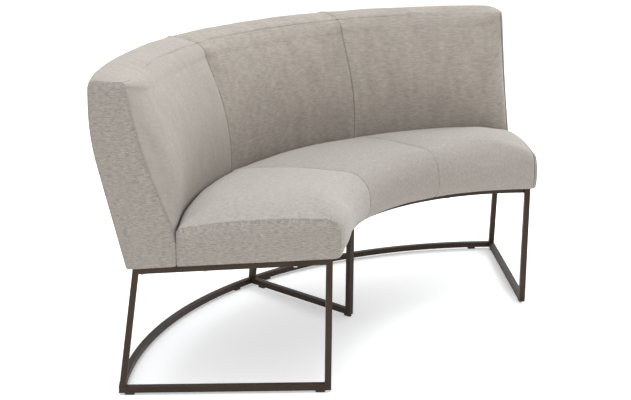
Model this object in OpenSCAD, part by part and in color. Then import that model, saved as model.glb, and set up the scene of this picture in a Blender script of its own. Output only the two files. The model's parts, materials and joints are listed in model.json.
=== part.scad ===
// Curved upholstered bench: a quarter ring of seat and back on three welded square-tube loops.
// Millimetres, +Z up. The open, concave side faces -Y, and the plane X = 0 is the mirror plane.
// Most pieces are drawn in polar form about the centre of the curve: r is the distance from that
// centre, phi the angle from the middle of the bench, and t the sideways distance from a radial
// plane. Everything is then moved back by centre_y, so the origin lies on the floor under the middle
// of the bounding box.

/* [Curve] */
// Angle from the middle of the bench to each end loop
half_angle = 45; // [36:1:54]
// Angle from the middle of the bench to each upholstery seam
seam_angle = 15.5; // [13:0.5:19]
// Radius of the front faces of the end legs
leg_front_r = 608; // [560:1:700]

/* [Steel loops] */
// Side of the square tube
tube = 16; // [14:1:18]
// Wall of the tube
tube_wall = 1.5; // [1:0.1:2.5]
// Height of the loops at the front, without the glides
frame_h = 350; // [310:1:390]
// How much lower the rear corners of the loops are
rear_drop = 21.5; // [12:0.5:30]
// Depth of the end loops along the top rails
frame_depth = 489; // [460:1:530]
// How far the rear legs splay out at the floor
rear_splay = 43; // [20:1:60]
// How far the middle leg stands behind the end legs
mid_leg_setback = 122; // [80:1:180]
// How far the curved front rail lies behind the faces of the end legs
front_rail_setback = 8; // [0:1:14]
// How far the curved rear rails lie ahead of the rear corners
rear_rail_inset = 25; // [20:1:32]

/* [Glides] */
// Height of a glide under the tube
glide_h = 6; // [4:0.5:10]
// Length of a glide along its tube
glide_l = 25; // [18:1:30]
// Width of a glide
glide_w = 13; // [10:0.5:14]
// Radius of a glide's stem
glide_stem_r = 3; // [2:0.5:4]
// Length of a glide's stem
glide_stem_l = 8; // [5:0.5:10]
// Distance of the end glides from the corners of an end loop
glide_inset = 27; // [22:1:60]
// Distance of the stretcher glides from the middle of the loops
stretcher_glide_inset = 66; // [40:1:120]

/* [Screws] */
// Radius of the frame screws
screw_r = 3; // [2.5:0.5:4]
// Radius of a screw head
screw_head_r = 5.5; // [5:0.5:7]
// Height of a screw head
screw_head_h = 3.3; // [2:0.1:5]
// Outer radius of a threaded insert
insert_r = 4.5; // [4.3:0.1:6]
// Length of a threaded insert
insert_l = 15; // [10:1:20]

/* [Timber] */
// Thickness of the ribs and posts
rib_t = 24; // [18:1:24]
// Thickness of the bent aprons
apron_t = 15; // [10:1:18]
// Height of the ribs and aprons of the seat
seat_frame_h = 50; // [40:1:54]
// How far the front apron stands ahead of the end legs
apron_lead = 8; // [4:1:10]
// Depth of a back post at its foot
post_foot = 64; // [50:1:70]
// Depth of a back post at its head
post_head = 58; // [48:1:64]
// Height of the curved top rail of the back
top_rail_h = 24; // [18:1:30]
// Thickness of the bent panel on the front of the posts
panel_t = 5; // [3:0.5:8]

/* [Seat] */
// How far the ends of the seat stand ahead of the end legs
seat_overhang = 19; // [15:1:30]
// Height of the seat's end seam at the front, above the steel
seat_side_h = 103; // [96:1:120]
// Pitch of the seat, in degrees
seat_pitch = 4; // [2.5:0.5:5]
// How far the front of a seat cushion rises above its end seam
seat_crown = 38; // [16:1:44]
// How far the rear of a seat cushion rises above its end seam
seat_rear_crown = 17; // [10:1:24]
// How far the front of a seat cushion swells out past its end seam
seat_swell = 30; // [6:1:34]
// Height of the long hump along the seat from front to rear
seat_hump = 8; // [3:0.5:12]
// Radius of the front edge in the middle of a seat cushion
seat_nose_r = 72; // [40:1:78]
// Radius of the front edge at the end seam
seat_end_nose_r = 30; // [24:1:34]
// Radius of the rear edge in the middle of a seat cushion
seat_roll_r = 30; // [20:1:34]
// Radius of the rear edge at the end seam
seat_end_roll_r = 10; // [8:1:14]

/* [Back] */
// Height of the rear of the back above the front of the steel
back_h = 454; // [430:1:490]
// Depth of the back at its foot
back_foot = 121; // [116:1:130]
// How far the rear of the back overhangs the rear corners of the loops
back_overhang = 14; // [8:1:20]
// Backward lean of the rear face, in degrees
rear_lean = 14; // [10:0.5:16]
// Radius by which the rear face bends upright
rear_bend_r = 600; // [450:10:800]
// Height of the upright band at the top of the rear face
rear_band = 74; // [50:1:100]
// How much lower the front of the top band is
band_fall = 13; // [6:1:16]
// How much lower the end seam of the top band is
band_crown = 16; // [8:1:20]
// Depth of the top at its end seam, from the front face to the rear face
top_depth = 89; // [85:1:105]
// How far the middle of a back cushion swells forward at its top
back_top_swell = 47; // [20:1:52]
// How far the middle of a back cushion swells forward at the seat
back_foot_swell = 31; // [15:1:31]
// Extra belly of the back between seat and top
back_belly = 28; // [8:1:32]
// Radius of the top front edge in the middle of a back cushion
back_nose_r = 43; // [30:1:48]
// Radius of the top front edge at the end seam
back_end_nose_r = 14; // [10:1:16]
// Radius of the top rear edge
back_roll_r = 16; // [14:1:18]
// Inward lean of the back's two ends
end_lean = 2.5; // [0:0.5:3.5]

/* [Covers] */
// Thickness of the end panels
end_panel_t = 4; // [3:0.5:6]
// Thickness of the rear cover
rear_cover_t = 4; // [3:0.5:6]
// Thickness of the dust cover under the timber
dust_t = 1.2; // [0.8:0.1:2]
// How far the padded end of the seat swells out past its seams
seat_end_swell = 14; // [4:1:18]
// How far the padded end of the back swells out past its seams
back_end_swell = 5; // [2:1:8]
// Width over which a seat cushion rounds down to an end seam
seat_edge_w = 100; // [60:1:120]
// Width over which a back cushion rounds down to an end seam
back_edge_w = 70; // [40:1:90]
// Width over which a cushion dips to a seam between cushions
dip_w = 38; // [20:1:60]
// Part of the crown that is lost in that dip
dip_share = 0.15; // [0.05:0.05:0.4]

/* [Webbing] */
// Width of a strap
strap_w = 56; // [40:1:60]
// Thickness of a strap
strap_t = 1.6; // [1:0.1:2.5]
// Angle between neighbouring straps of a bay
strap_step = 6.5; // [6:0.1:7.2]

/* [Hidden] */
$fn = 48;
// Steps of a full turn along the curve of the bench
curve_steps = 360;

steel_colour = [0.27, 0.235, 0.21];
plastic_colour = [0.06, 0.06, 0.06];
zinc_colour = [0.72, 0.72, 0.7];
timber_colour = [0.78, 0.62, 0.42];
foam_colour = [0.93, 0.88, 0.68];
strap_colour = [0.16, 0.16, 0.17];
dust_colour = [0.12, 0.12, 0.13];
fabric_colour = [0.7, 0.67, 0.63];
end_colour = [0.64, 0.61, 0.57];

// Clearances: between curved layers, under laid pieces, round stems and screws
layer_gap = 0.4;
lay_gap = 0.1;
stem_gap = 0.1;
screw_gap = 0.3;
thread_gap = 0.1;
// Overrun of the cuts
cut = 2;
// Fineness of the points of the sewn forms
point_grid = 0.0001;

// Steel: corner radii and the sloping top line of the loops
rear_top_r = leg_front_r + frame_depth;
rear_foot_r = rear_top_r + rear_splay;
mid_leg_r = leg_front_r + mid_leg_setback;
front_rail_r = leg_front_r + front_rail_setback;
rear_rail_r = rear_top_r - rear_rail_inset - tube;
frame_top = glide_h + frame_h;
frame_slope = rear_drop/frame_depth;
slope_angle = atan(frame_slope);
function rail_top(r) = frame_top - frame_slope*(r - leg_front_r);
function rail_under(r) = rail_top(r) - tube/cos(slope_angle);
// Underside of the timber, which lies on the dust cover
function floor_z(r) = rail_top(r) + dust_t + lay_gap;

// Seat: radii of its layers, and the line of its end seam
seat_front_r = leg_front_r - seat_overhang;
hem_r = rear_top_r + back_overhang;
seat_rear_r = hem_r - back_foot;
seat_rear_wrap = 12;
apron_r = leg_front_r - apron_lead;
rear_apron_r = seat_rear_r - seat_rear_wrap;
hem_drop = 2;
hem_inset = 5;
tuck_h = 40;
frame_gap = 0.3;
post_gap = 0.6;
web_z = seat_frame_h + strap_t + lay_gap;
function seat_line(r) = frame_top + seat_side_h - tan(seat_pitch)*(r - seat_front_r);
// The foam core lies this far under the end seam, and its edges are chamfered
seat_wrap = 13;
core_nose = 25;
core_nose_fall = 18;
core_roll = 18;
core_roll_fall = 12;

// Back: the rear face is a leaning line, a wide bend and an upright band
back_top = frame_top + back_h;
shoulder_z = back_top - rear_band;
bend_z = shoulder_z - rear_bend_r*sin(rear_lean);
hem_z = rail_top(hem_r) - hem_drop/2;
back_out_r = hem_r + tan(rear_lean)*(bend_z - hem_z) + rear_bend_r*(1 - cos(rear_lean));
function rear_r(z) =
    z >= shoulder_z ? back_out_r
    : z >= bend_z ? back_out_r - rear_bend_r + sqrt(pow(rear_bend_r, 2) - pow(shoulder_z - z, 2))
    : hem_r + tan(rear_lean)*(z - hem_z);
// The covers of the back reach this far down the rear face
rear_seam_drop = 35;
rear_seam_z = back_top - rear_seam_drop;
ring_drop = 27.4;
ring_inset = 9;
ring_top = back_top - ring_drop;
ring_z = ring_top - top_rail_h;
ring_out_r = back_out_r - ring_inset;
post_foot_r = rear_r(floor_z(hem_r)) - rear_cover_t - post_foot;
post_head_r = rear_r(ring_z) - rear_cover_t - post_head;
post_foot_z = floor_z(post_foot_r);
function post_front(z) = post_foot_r + (post_head_r - post_foot_r)*(z - post_foot_z)/(ring_z - post_foot_z);
panel_w = panel_t/cos(atan((post_head_r - post_foot_r)/(ring_z - post_foot_z)));
// The back's foam core behind its end seam
crease_z = frame_top + 90;
crease_fall = 16;
face_foot_r = seat_rear_r + 22;
face_low_r = seat_rear_r + 18;
face_head_r = back_out_r - top_depth;
back_wrap = 12;
core_head_rise = 6;
core_head_lean = 6;
face_belly_in = 12;

// Places along the curve
frame_angles = [-half_angle, 0, half_angle];
rib_angles = [-half_angle, -half_angle/2, 0, half_angle/2, half_angle];
bay_angles = [for (i = [0:3]) (i - 1.5)*half_angle/2];
seat_screw_front = 92;
seat_screw_rear = 58;
back_screw_inset = 24;
screw_spots = concat(
    [for (a = frame_angles) for (r = [leg_front_r + seat_screw_front, rear_apron_r - seat_screw_rear,
        rear_top_r - back_screw_inset]) [a, r]],
    [for (a = [-half_angle/2, half_angle/2]) for (r = [front_rail_r, rear_rail_r]) [a, r + tube/2]]
);
screw_l = tube + dust_t + insert_l + cut;
mid_glide_rear = 52;
mid_glide_front = 13;
stretcher_r = rear_foot_r - tube/2;
glide_turn = stretcher_glide_inset/stretcher_r*180/PI;
// Each glide: angle, radius, and 1 where it lies along the curve
glide_spots = concat(
    [for (a = [-half_angle, half_angle]) for (r = [leg_front_r + glide_inset, rear_foot_r - glide_inset])
        [a, r, 0]],
    [[0, mid_leg_r + mid_glide_front, 0], [0, rear_foot_r - mid_glide_rear, 0]],
    [for (a = [glide_turn - half_angle, -glide_turn, glide_turn, half_angle - glide_turn])
        [a, stretcher_r, 1]]
);

// Planes at the ends: the timber stops first, then the covers, then the end panels
timber_end = rib_t/2;
cover_end = timber_end + layer_gap;
end_face = cover_end + lay_gap + end_panel_t;

// Middle of the bounding box, from its frontmost end corner to its rearmost point
front_y = seat_front_r*cos(half_angle) - end_face*sin(half_angle);
centre_y = round((front_y + back_out_r)/2/point_grid)*point_grid;
reach = 2*rear_foot_r;

// Number of steps along a cushion, round an edge and along a face
sweep_steps = 14;
nose_steps = 6;
face_steps = 8;
roll_steps = 3;
end_shares = [0.45, 0.8, 1];
// Shares of the way from the edge of a padded end to the line along its middle
pad_shares = [0, 0.12, 0.35, 0.62, 0.85];

function mix(a, b, k) = a + (b - a)*k;
function swell(x) = x <= 0 ? 0 : x >= 1 ? 1 : sqrt(1 - pow(1 - x, 2));
function arc2(c, rad, from, to, n) =
    [for (i = [0:n]) let (a = mix(from, to, i/n)) c + rad*[cos(a), sin(a)]];

// Corners of a loop in the plane of r and z, counted from the front foot by way of the rear
end_loop = [[leg_front_r, glide_h], [rear_foot_r, glide_h], [rear_top_r, rail_top(rear_top_r)],
    [leg_front_r, frame_top]];
mid_loop = [[mid_leg_r, glide_h], end_loop[1], end_loop[2], [mid_leg_r, rail_top(mid_leg_r)]];
function cross2(a, b) = a[0]*b[1] - a[1]*b[0];
function edge_dir(p, i) = (p[(i + 1) % len(p)] - p[i % len(p)])/norm(p[(i + 1) % len(p)] - p[i % len(p)]);
function edge_start(p, i, w) = p[i % len(p)] + w*[-edge_dir(p, i)[1], edge_dir(p, i)[0]];
// Corner i of a loop, moved in by w from both of its edges
function inner_corner(p, i, w) =
    let (h = i + len(p) - 1, d = edge_dir(p, h), e = edge_dir(p, i), a = edge_start(p, h, w))
    a + d*cross2(edge_start(p, i, w) - a, e)/cross2(d, e);
// Mitred side i of a loop, between two depths, and lengthened by some overrun
function side_outline(p, i, near, far, over) =
    let (d = over*edge_dir(p, i))
    [inner_corner(p, i, near) - d, inner_corner(p, i + 1, near) + d,
        inner_corner(p, i + 1, far) + d, inner_corner(p, i, far) - d];

module centred() translate([0, -centre_y, 0]) children();
module radial(phi) rotate([0, 0, 90 - phi]) children();
module on_rail(phi, r) radial(phi) translate([r, 0, rail_top(r)]) rotate([0, slope_angle, 0]) children();
module upright(w) rotate([90, 0, 0]) translate([0, 0, -w/2]) linear_extrude(w) children();
module sector(from, to)
    rotate([0, 0, 90 - to]) rotate_extrude(angle = to - from, $fn = curve_steps) children();

// What lies outside a plane at distance out beyond an end loop; it leans inwards about the frame's top
module outside(side, out, lean)
    radial(side*half_angle) translate([0, 0, frame_top]) rotate([-side*lean, 0, 0])
        translate([0, side > 0 ? -reach - out*cos(lean) : out*cos(lean), -reach])
            cube([reach, reach, 2*reach]);

module trim_ends(out, lean) {
    difference() {
        children();
        for (side = [-1, 1]) outside(side, out, lean);
    }
}

module full_ring(out, lean)
    trim_ends(out, lean) sector(-half_angle - seam_angle/2, half_angle + seam_angle/2) children();

module screw_cut(spots, rad, from, to) {
    for (s = spots) on_rail(s[0], s[1]) translate([0, 0, from]) cylinder(r = rad, h = to - from);
}

module glide_cut(spots) {
    for (g = spots)
        radial(g[0]) translate([g[1], 0, glide_h - cut])
            cylinder(r = glide_stem_r + stem_gap, h = tube_wall + 2*cut);
}

function at_angle(spots, phi) = [for (s = spots) if (abs(s[0] - phi) < 1) s];
function between(spots, from, to) = [for (s = spots) if (s[0] > from + 1 && s[0] < to - 1) s];

// Steel tubes of the loops
module loop_side(p, i) {
    difference() {
        upright(tube) polygon(side_outline(p, i, 0, tube, 0));
        upright(tube - 2*tube_wall) polygon(side_outline(p, i, tube_wall, tube - tube_wall, cut));
    }
}

module loop_tube(phi, p, i) color(steel_colour) centred() radial(phi) loop_side(p, i);

module floor_rail(phi, p) {
    color(steel_colour) centred() difference() {
        radial(phi) loop_side(p, 0);
        glide_cut(at_angle(glide_spots, phi));
    }
}

module top_rail(phi, p) {
    color(steel_colour) centred() difference() {
        radial(phi) loop_side(p, 2);
        screw_cut(at_angle(screw_spots, phi), screw_r + screw_gap, -tube - cut, cut);
    }
}

// The middle leg is cut square to the top rail, which runs on to the front rail
module middle_front_leg() {
    foot = inner_corner(mid_loop, 0, tube);
    bore_foot = inner_corner(mid_loop, 0, tube_wall);
    bore_r = mid_leg_r + tube_wall;
    bore_end_r = mid_leg_r + tube - tube_wall;
    color(steel_colour) centred() radial(0) difference() {
        upright(tube)
            polygon([mid_loop[0], foot, [foot[0], rail_under(foot[0])],
                [mid_leg_r, rail_under(mid_leg_r)]]);
        upright(tube - 2*tube_wall)
            polygon([bore_foot - [0, cut], [bore_end_r, foot[1] - tube_wall - cut],
                [bore_end_r, rail_under(bore_end_r) + cut], [bore_r, rail_under(bore_r) + cut]]);
    }
}

module middle_top_rail() {
    start_r = front_rail_r + tube;
    rear = inner_corner(mid_loop, 2, tube);
    wall_h = tube_wall/cos(slope_angle);
    bore_top = inner_corner(mid_loop, 2, tube_wall);
    bore_under = inner_corner(mid_loop, 2, tube - tube_wall);
    over = cut*[cos(slope_angle), -sin(slope_angle)];
    bore_start = start_r - cut;
    color(steel_colour) centred() difference() {
        radial(0) difference() {
            upright(tube)
                polygon([[start_r, rail_under(start_r)], rear, mid_loop[2], [start_r, rail_top(start_r)]]);
            upright(tube - 2*tube_wall)
                polygon([[bore_start, rail_under(bore_start) + wall_h], bore_under + over, bore_top + over,
                    [bore_start, rail_top(bore_start) - wall_h]]);
        }
        screw_cut(at_angle(screw_spots, 0), screw_r + screw_gap, -tube - cut, cut);
    }
}

// Bent tubes: a square section at the floor, and a section under the sloping top line
module floor_section(w) translate([rear_foot_r - tube + w, glide_h + w]) square(tube - 2*w);
module seat_rail_section(r, w) {
    polygon([[r + w, rail_under(r + w) + w], [r + tube - w, rail_under(r + tube - w) + w],
        [r + tube - w, rail_top(r + tube - w) - w], [r + w, rail_top(r + w) - w]]);
}

// One bay of the curve, between the side faces of two neighbouring loops
module bay(side) {
    trim_ends(-tube/2) difference() {
        sector(side < 0 ? -half_angle : 0, side < 0 ? 0 : half_angle) children();
        translate([-tube/2, 0, -reach]) cube([tube, reach, 2*reach]);
    }
}

module floor_stretcher(side) {
    color(steel_colour) centred() difference() {
        bay(side) difference() {
            floor_section(0);
            floor_section(tube_wall);
        }
        glide_cut(between(glide_spots, side < 0 ? -half_angle : 0, side < 0 ? 0 : half_angle));
    }
}

module rear_seat_rail(side) {
    color(steel_colour) centred() difference() {
        bay(side) difference() {
            seat_rail_section(rear_rail_r, 0);
            seat_rail_section(rear_rail_r, tube_wall);
        }
        screw_cut(at_angle(screw_spots, side*half_angle/2), screw_r + screw_gap, -tube - cut, cut);
    }
}

module front_seat_rail() {
    color(steel_colour) centred() difference() {
        trim_ends(-tube/2) sector(-half_angle, half_angle) difference() {
            seat_rail_section(front_rail_r, 0);
            seat_rail_section(front_rail_r, tube_wall);
        }
        screw_cut(between(screw_spots, -half_angle, 0), screw_r + screw_gap, -tube - cut, cut);
        screw_cut(between(screw_spots, 0, half_angle), screw_r + screw_gap, -tube - cut, cut);
    }
}

// Pads with round ends, pushed into the tubes by their stems
module glides() {
    color(plastic_colour) centred() for (g = glide_spots)
        radial(g[0]) translate([g[1], 0, 0]) rotate([0, 0, 90*g[2]]) {
            linear_extrude(glide_h) {
                square([glide_l - glide_w, glide_w], center = true);
                for (side = [-1, 1]) translate([side*(glide_l - glide_w)/2, 0]) circle(d = glide_w);
            }
            cylinder(r = glide_stem_r, h = glide_h + glide_stem_l);
        }
}

module frame_screws() {
    color(zinc_colour) centred() for (s = screw_spots) on_rail(s[0], s[1]) {
        translate([0, 0, -tube - screw_head_h]) cylinder(r = screw_head_r, h = screw_head_h);
        translate([0, 0, -tube - screw_head_h/2]) cylinder(r = screw_r, h = screw_l + screw_head_h/2);
    }
}

module threaded_inserts() {
    color(zinc_colour) centred() for (s = screw_spots)
        on_rail(s[0], s[1]) translate([0, 0, dust_t + 2*lay_gap])
        difference() {
            cylinder(r = insert_r, h = insert_l);
            translate([0, 0, -cut]) cylinder(r = screw_r + thread_gap, h = insert_l + 2*cut);
        }
}

module dust_cover() {
    outer_r = hem_r - rear_cover_t - frame_gap;
    color(dust_colour) centred() difference() {
        full_ring(timber_end, 0)
            polygon([[apron_r, rail_top(apron_r)], [outer_r, rail_top(outer_r)],
                [outer_r, rail_top(outer_r) + dust_t], [apron_r, rail_top(apron_r) + dust_t]]);
        screw_cut(screw_spots, screw_r + screw_gap, -cut, dust_t + cut);
    }
}

// Timber frame of the seat
module apron(r) {
    color(timber_colour) centred() full_ring(timber_end, 0)
        polygon([[r, floor_z(r)], [r + apron_t, floor_z(r + apron_t)],
            [r + apron_t, floor_z(r + apron_t) + seat_frame_h], [r, floor_z(r) + seat_frame_h]]);
}

module seat_rib(phi) {
    from = apron_r + apron_t;
    to = rear_apron_r - apron_t - frame_gap;
    color(timber_colour) centred() difference() {
        radial(phi) upright(rib_t)
            polygon([[from, floor_z(from)], [to, floor_z(to)],
                [to, floor_z(to) + seat_frame_h], [from, floor_z(from) + seat_frame_h]]);
        screw_cut(at_angle(screw_spots, phi), insert_r, 0, dust_t + insert_l + 2*cut);
    }
}

module seat_webbing() {
    length = rear_apron_r - apron_r - 2*cut;
    color(strap_colour) centred() for (bay = bay_angles) for (i = [-1:1])
        on_rail(bay + i*strap_step, apron_r + cut)
            translate([0, -strap_w/2, dust_t + 2*lay_gap + seat_frame_h])
            cube([length, strap_w, strap_t]);
}

// Foam cores, and the same outline moved out by a gap for the inside of the covers
function seat_core(gap) = [
    [rear_apron_r + gap, seat_line(rear_apron_r) - seat_wrap - core_roll_fall],
    [rear_apron_r - core_roll, seat_line(rear_apron_r - core_roll) - seat_wrap + gap],
    [apron_r + core_nose, seat_line(apron_r + core_nose) - seat_wrap + gap],
    [apron_r - gap, seat_line(apron_r + core_nose) - seat_wrap - core_nose_fall]
];
module seat_foam(from, to) {
    function web_top(r) = floor_z(r) + web_z + lay_gap;
    color(foam_colour) centred() trim_ends(timber_end, 0) sector(from, to)
        polygon(concat([[apron_r, web_top(apron_r)], [rear_apron_r, web_top(rear_apron_r)]], seat_core(0)));
}

function back_core(gap) = [
    [face_foot_r + back_wrap - gap, crease_z],
    [face_head_r + back_wrap + core_head_lean - gap, ring_top - back_wrap],
    [face_head_r + back_wrap + core_head_lean + core_head_rise, ring_top + gap]
];
module back_foam(from, to) {
    foot_r = seat_rear_r + back_wrap + 2*layer_gap;
    rear_w = panel_w + frame_gap;
    color(foam_colour) centred() trim_ends(timber_end, end_lean) sector(from, to)
        polygon(concat(back_core(0), [[post_front(ring_top) - rear_w, ring_top],
            [post_foot_r - rear_w, floor_z(post_foot_r)], [foot_r, floor_z(foot_r)]]));
}

// Timber of the back: posts, the bent panel on their fronts and the rail on their heads
rear_levels = [for (i = [0:face_steps]) mix(floor_z(hem_r), ring_z, i/face_steps)];
module post_form(phi, w)
    radial(phi) upright(w)
        polygon(concat([[post_head_r, ring_z], [post_foot_r, floor_z(post_foot_r)]],
            [for (z = rear_levels) [rear_r(z) - rear_cover_t - post_gap, z]]));

module back_post(phi) {
    color(timber_colour) centred() difference() {
        post_form(phi, rib_t);
        screw_cut(at_angle(screw_spots, phi), insert_r, 0, dust_t + insert_l + 2*cut);
    }
}

// The end posts lean in with the ends of the back: both of their sides are cut along leaning planes
module end_post(side) {
    color(timber_colour) centred() difference() {
        post_form(side*half_angle, rib_t + 2*back_h);
        outside(side, timber_end, end_lean);
        radial(side*half_angle) translate([0, 0, frame_top]) rotate([-side*end_lean, 0, 0])
            translate([0, side > 0 ? timber_end*cos(end_lean) : -reach - timber_end*cos(end_lean), -reach])
                cube([reach, reach, 2*reach]);
        screw_cut(at_angle(screw_spots, side*half_angle), insert_r, 0, dust_t + insert_l + 2*cut);
    }
}

module back_panel() {
    foot_z = floor_z(post_foot_r);
    color(timber_colour) centred() full_ring(timber_end, end_lean)
        polygon([[post_foot_r - panel_w, foot_z], [post_foot_r, foot_z],
            [post_front(ring_top), ring_top], [post_front(ring_top) - panel_w, ring_top]]);
}

module back_top_rail() {
    color(timber_colour) centred() full_ring(timber_end, end_lean)
        polygon([[post_front(ring_z), ring_z], [ring_out_r, ring_z], [ring_out_r, ring_top],
            [post_front(ring_top), ring_top]]);
}

// Outline of the seat from its front hem over the top to its rear hem; k is 0 at an end seam
function seat_outline(k) =
    let (
        face_r = seat_front_r - seat_swell*k,
        nose = mix(seat_end_nose_r, seat_nose_r, k),
        roll = mix(seat_end_roll_r, seat_roll_r, k),
        rise = seat_crown*k,
        rear_rise = seat_rear_crown*k,
        nose_c = [face_r + nose, seat_line(face_r + nose) + rise - nose],
        roll_c = [seat_rear_r - roll, seat_line(seat_rear_r - roll) + rear_rise - roll],
        hem = [seat_front_r + hem_inset, frame_top - hem_drop]
    )
    concat(
        [for (i = [0:3]) let (z = mix(hem[1], nose_c[1], i/4))
            [mix(hem[0], face_r, swell((z - hem[1])/tuck_h)), z]],
        arc2(nose_c, nose, 180, 90, nose_steps),
        [for (i = [1:face_steps - 1]) let (u = i/face_steps, r = mix(nose_c[0], roll_c[0], u))
            [r, seat_line(r) + mix(rise, rear_rise, u) + seat_hump*sin(180*u)]],
        arc2(roll_c, roll, 90, 0, roll_steps),
        [[seat_rear_r, floor_z(seat_rear_r)]]
    );
function seat_lining() = concat(
    [[rear_apron_r + layer_gap, floor_z(rear_apron_r)]], seat_core(layer_gap),
    [[apron_r - layer_gap, frame_top - hem_drop]]
);

// Outline of the back from its front hem up over the top and down to the rear seam
function back_outline(k) =
    let (
        foot = [face_foot_r - back_foot_swell*k, crease_z],
        head_r = face_head_r - back_top_swell*k,
        nose = mix(back_end_nose_r, back_nose_r, k),
        top = back_top - band_crown*(1 - k),
        nose_c = [head_r + nose, top - band_fall*k - nose],
        roll_c = [back_out_r - back_roll_r, top - back_roll_r],
        belly = mix(-face_belly_in, back_belly, k)
    )
    concat(
        [[seat_rear_r + layer_gap, floor_z(seat_rear_r)],
            [mix(face_low_r, seat_rear_r + layer_gap, k), crease_z - crease_fall]],
        [for (i = [0:face_steps - 1]) let (u = i/face_steps)
            [mix(foot[0], head_r, u) - belly*sin(180*u), mix(foot[1], nose_c[1], u)]],
        arc2(nose_c, nose, 180, 90, nose_steps),
        arc2(roll_c, back_roll_r, 90, 0, roll_steps),
        [[back_out_r, rear_seam_z]]
    );
function back_lining() = concat(
    [[ring_out_r + layer_gap, rear_seam_z], [ring_out_r + layer_gap, ring_top + layer_gap]],
    [for (i = [0:2]) back_core(layer_gap)[2 - i]],
    [[seat_rear_r + back_wrap + layer_gap, floor_z(seat_rear_r + back_wrap)]]
);

// How full a cushion is at a distance from its end seam and from its seam to the next cushion
function fullness(to_end, to_seam, edge_w) =
    swell(to_end/edge_w)*(1 - dip_share*(1 - swell(to_seam/dip_w)));

// Stations of a cushion: angle and sideways distance, close together near its two ends
function stations(from, to) =
    [for (i = [0:sweep_steps]) [mix(from, to, (1 - cos(180*i/sweep_steps))/2), 0]];
end_stations = [for (s = end_shares) [half_angle, s*cover_end]];
function on_grid(p) = [for (v = p) round(v/point_grid)*point_grid];
function placed(p, phi, t) = on_grid([p[0]*sin(phi) + t*cos(phi), p[0]*cos(phi) - t*sin(phi), p[1]]);
// Angle of a point after the lean, which grows from the seam beside the middle cushion to the end
function leaned(p, phi, lean) =
    phi - max(0, phi - seam_angle)/(half_angle - seam_angle)*tan(lean)*(p[1] - frame_top)/p[0]*180/PI;

// One ring of points: each outline point is mixed by its own distance to the seams
function ring(bare, full, lining, edge_w, lean, phi, t) = concat(
    [for (i = [0:len(bare) - 1])
        let (
            arc_mm = full[i][0]*PI/180,
            to_end = (half_angle - abs(phi))*arc_mm + cover_end - t,
            to_seam = abs(abs(phi) - seam_angle)*arc_mm + t,
            p = mix(bare[i], full[i], fullness(to_end, to_seam, edge_w))
        )
        placed(p, leaned(p, phi, lean), t)],
    [for (p = lining) placed(p, leaned(p, phi, lean), t)]
);
// Triangles across a flat end: two chains of its points start side by side and meet at last and last + 1
function across(p, last, i, j) =
    i == last && j == last + 1 ? []
    : j == last + 1 || (i < last && norm(p[i + 1] - p[j]) < norm(p[i] - p[j - 1]))
        ? concat([[i, j, i + 1]], across(p, last, i + 1, j))
        : concat([[i, j, j - 1]], across(p, last, i, j - 1));
module skin(rings, last) {
    n = len(rings[0]);
    m = len(rings);
    function quad(a, b, c, d) = [[a, b, c], [a, c, d]];
    sides = [for (j = [0:m - 2]) for (i = [0:n - 1])
        for (f = quad(j*n + i, j*n + (i + 1) % n, (j + 1)*n + (i + 1) % n, (j + 1)*n + i)) f];
    polyhedron(
        points = [for (r = rings) for (p = r) p],
        faces = concat(across(rings[0], last, 0, n - 1), sides,
            [for (f = across(rings[m - 1], last, 0, n - 1)) [for (i = [0:2]) (m - 1)*n + f[2 - i]]]),
        convexity = 6
    );
}

module cushion(bare, full, lining, edge_w, lean, spots) {
    color(fabric_colour) centred()
        skin([for (s = spots) ring(bare, full, lining, edge_w, lean, s[0], s[1])], len(bare) - 1);
}

outer_spots = concat(stations(seam_angle, half_angle), end_stations);
inner_spots = stations(-seam_angle, seam_angle);
module seat_cover(spots)
    cushion(seat_outline(0), seat_outline(1), seat_lining(), seat_edge_w, 0, spots);
module back_cover(spots)
    cushion(back_outline(0), back_outline(1), back_lining(), back_edge_w, end_lean, spots);

// Padded panels that close the ends: flat behind, and swelling out towards the line from a to b
function share_along(p, a, b) = max(0, min(1, (p - a)*(b - a)/((b - a)*(b - a))));
function nearest(p, a, b) = mix(a, b, share_along(p, a, b));
module end_panel(outline, last, a, b, rise, lean) {
    function at_end(p, t) = placed(p, leaned(p, half_angle, lean), t);
    color(end_colour) centred() skin(concat(
        [[for (p = outline) at_end(p, cover_end + lay_gap)]],
        [for (k = pad_shares) [for (p = outline)
            at_end(mix(p, nearest(p, a, b), k), end_face + rise*swell(k))]]
    ), last);
}
module seat_end_panel() {
    front_r = seat_front_r + seat_side_h/2;
    rear_r = seat_rear_r - seat_side_h/4;
    seam = seat_outline(0);
    rear_hem = [seat_rear_r, rail_top(seat_rear_r) - hem_drop];
    end_panel(concat([for (i = [0:len(seam) - 2]) seam[i]], [rear_hem]), 4 + nose_steps,
        [front_r, (frame_top + seat_line(front_r))/2], [rear_r, (rail_top(rear_r) + seat_line(rear_r))/2],
        seat_end_swell, 0);
}
module back_end_panel() {
    seam = back_outline(0);
    levels = [for (i = [0:face_steps]) mix(shoulder_z, hem_z, i/face_steps)];
    low_z = frame_top + back_foot/2;
    high_z = back_top - top_depth/2;
    end_panel(concat([[seat_rear_r + layer_gap, rail_top(seat_rear_r) - hem_drop]],
        [for (i = [1:len(seam) - 2]) seam[i]], [for (z = levels) [rear_r(z), z]]),
        1 + face_steps + nose_steps,
        [rear_r(low_z) - back_foot/2, low_z], [rear_r(high_z) - top_depth/2, high_z],
        back_end_swell, end_lean);
}

module rear_cover() {
    levels = [for (i = [0:2*face_steps]) mix(hem_z, rear_seam_z - lay_gap, i/(2*face_steps))];
    color(end_colour) centred() full_ring(cover_end, end_lean)
        polygon(concat([for (z = levels) [rear_r(z), z]],
            [for (i = [0:len(levels) - 1]) let (z = levels[len(levels) - 1 - i])
                [rear_r(z) - rear_cover_t, z]]));
}

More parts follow.
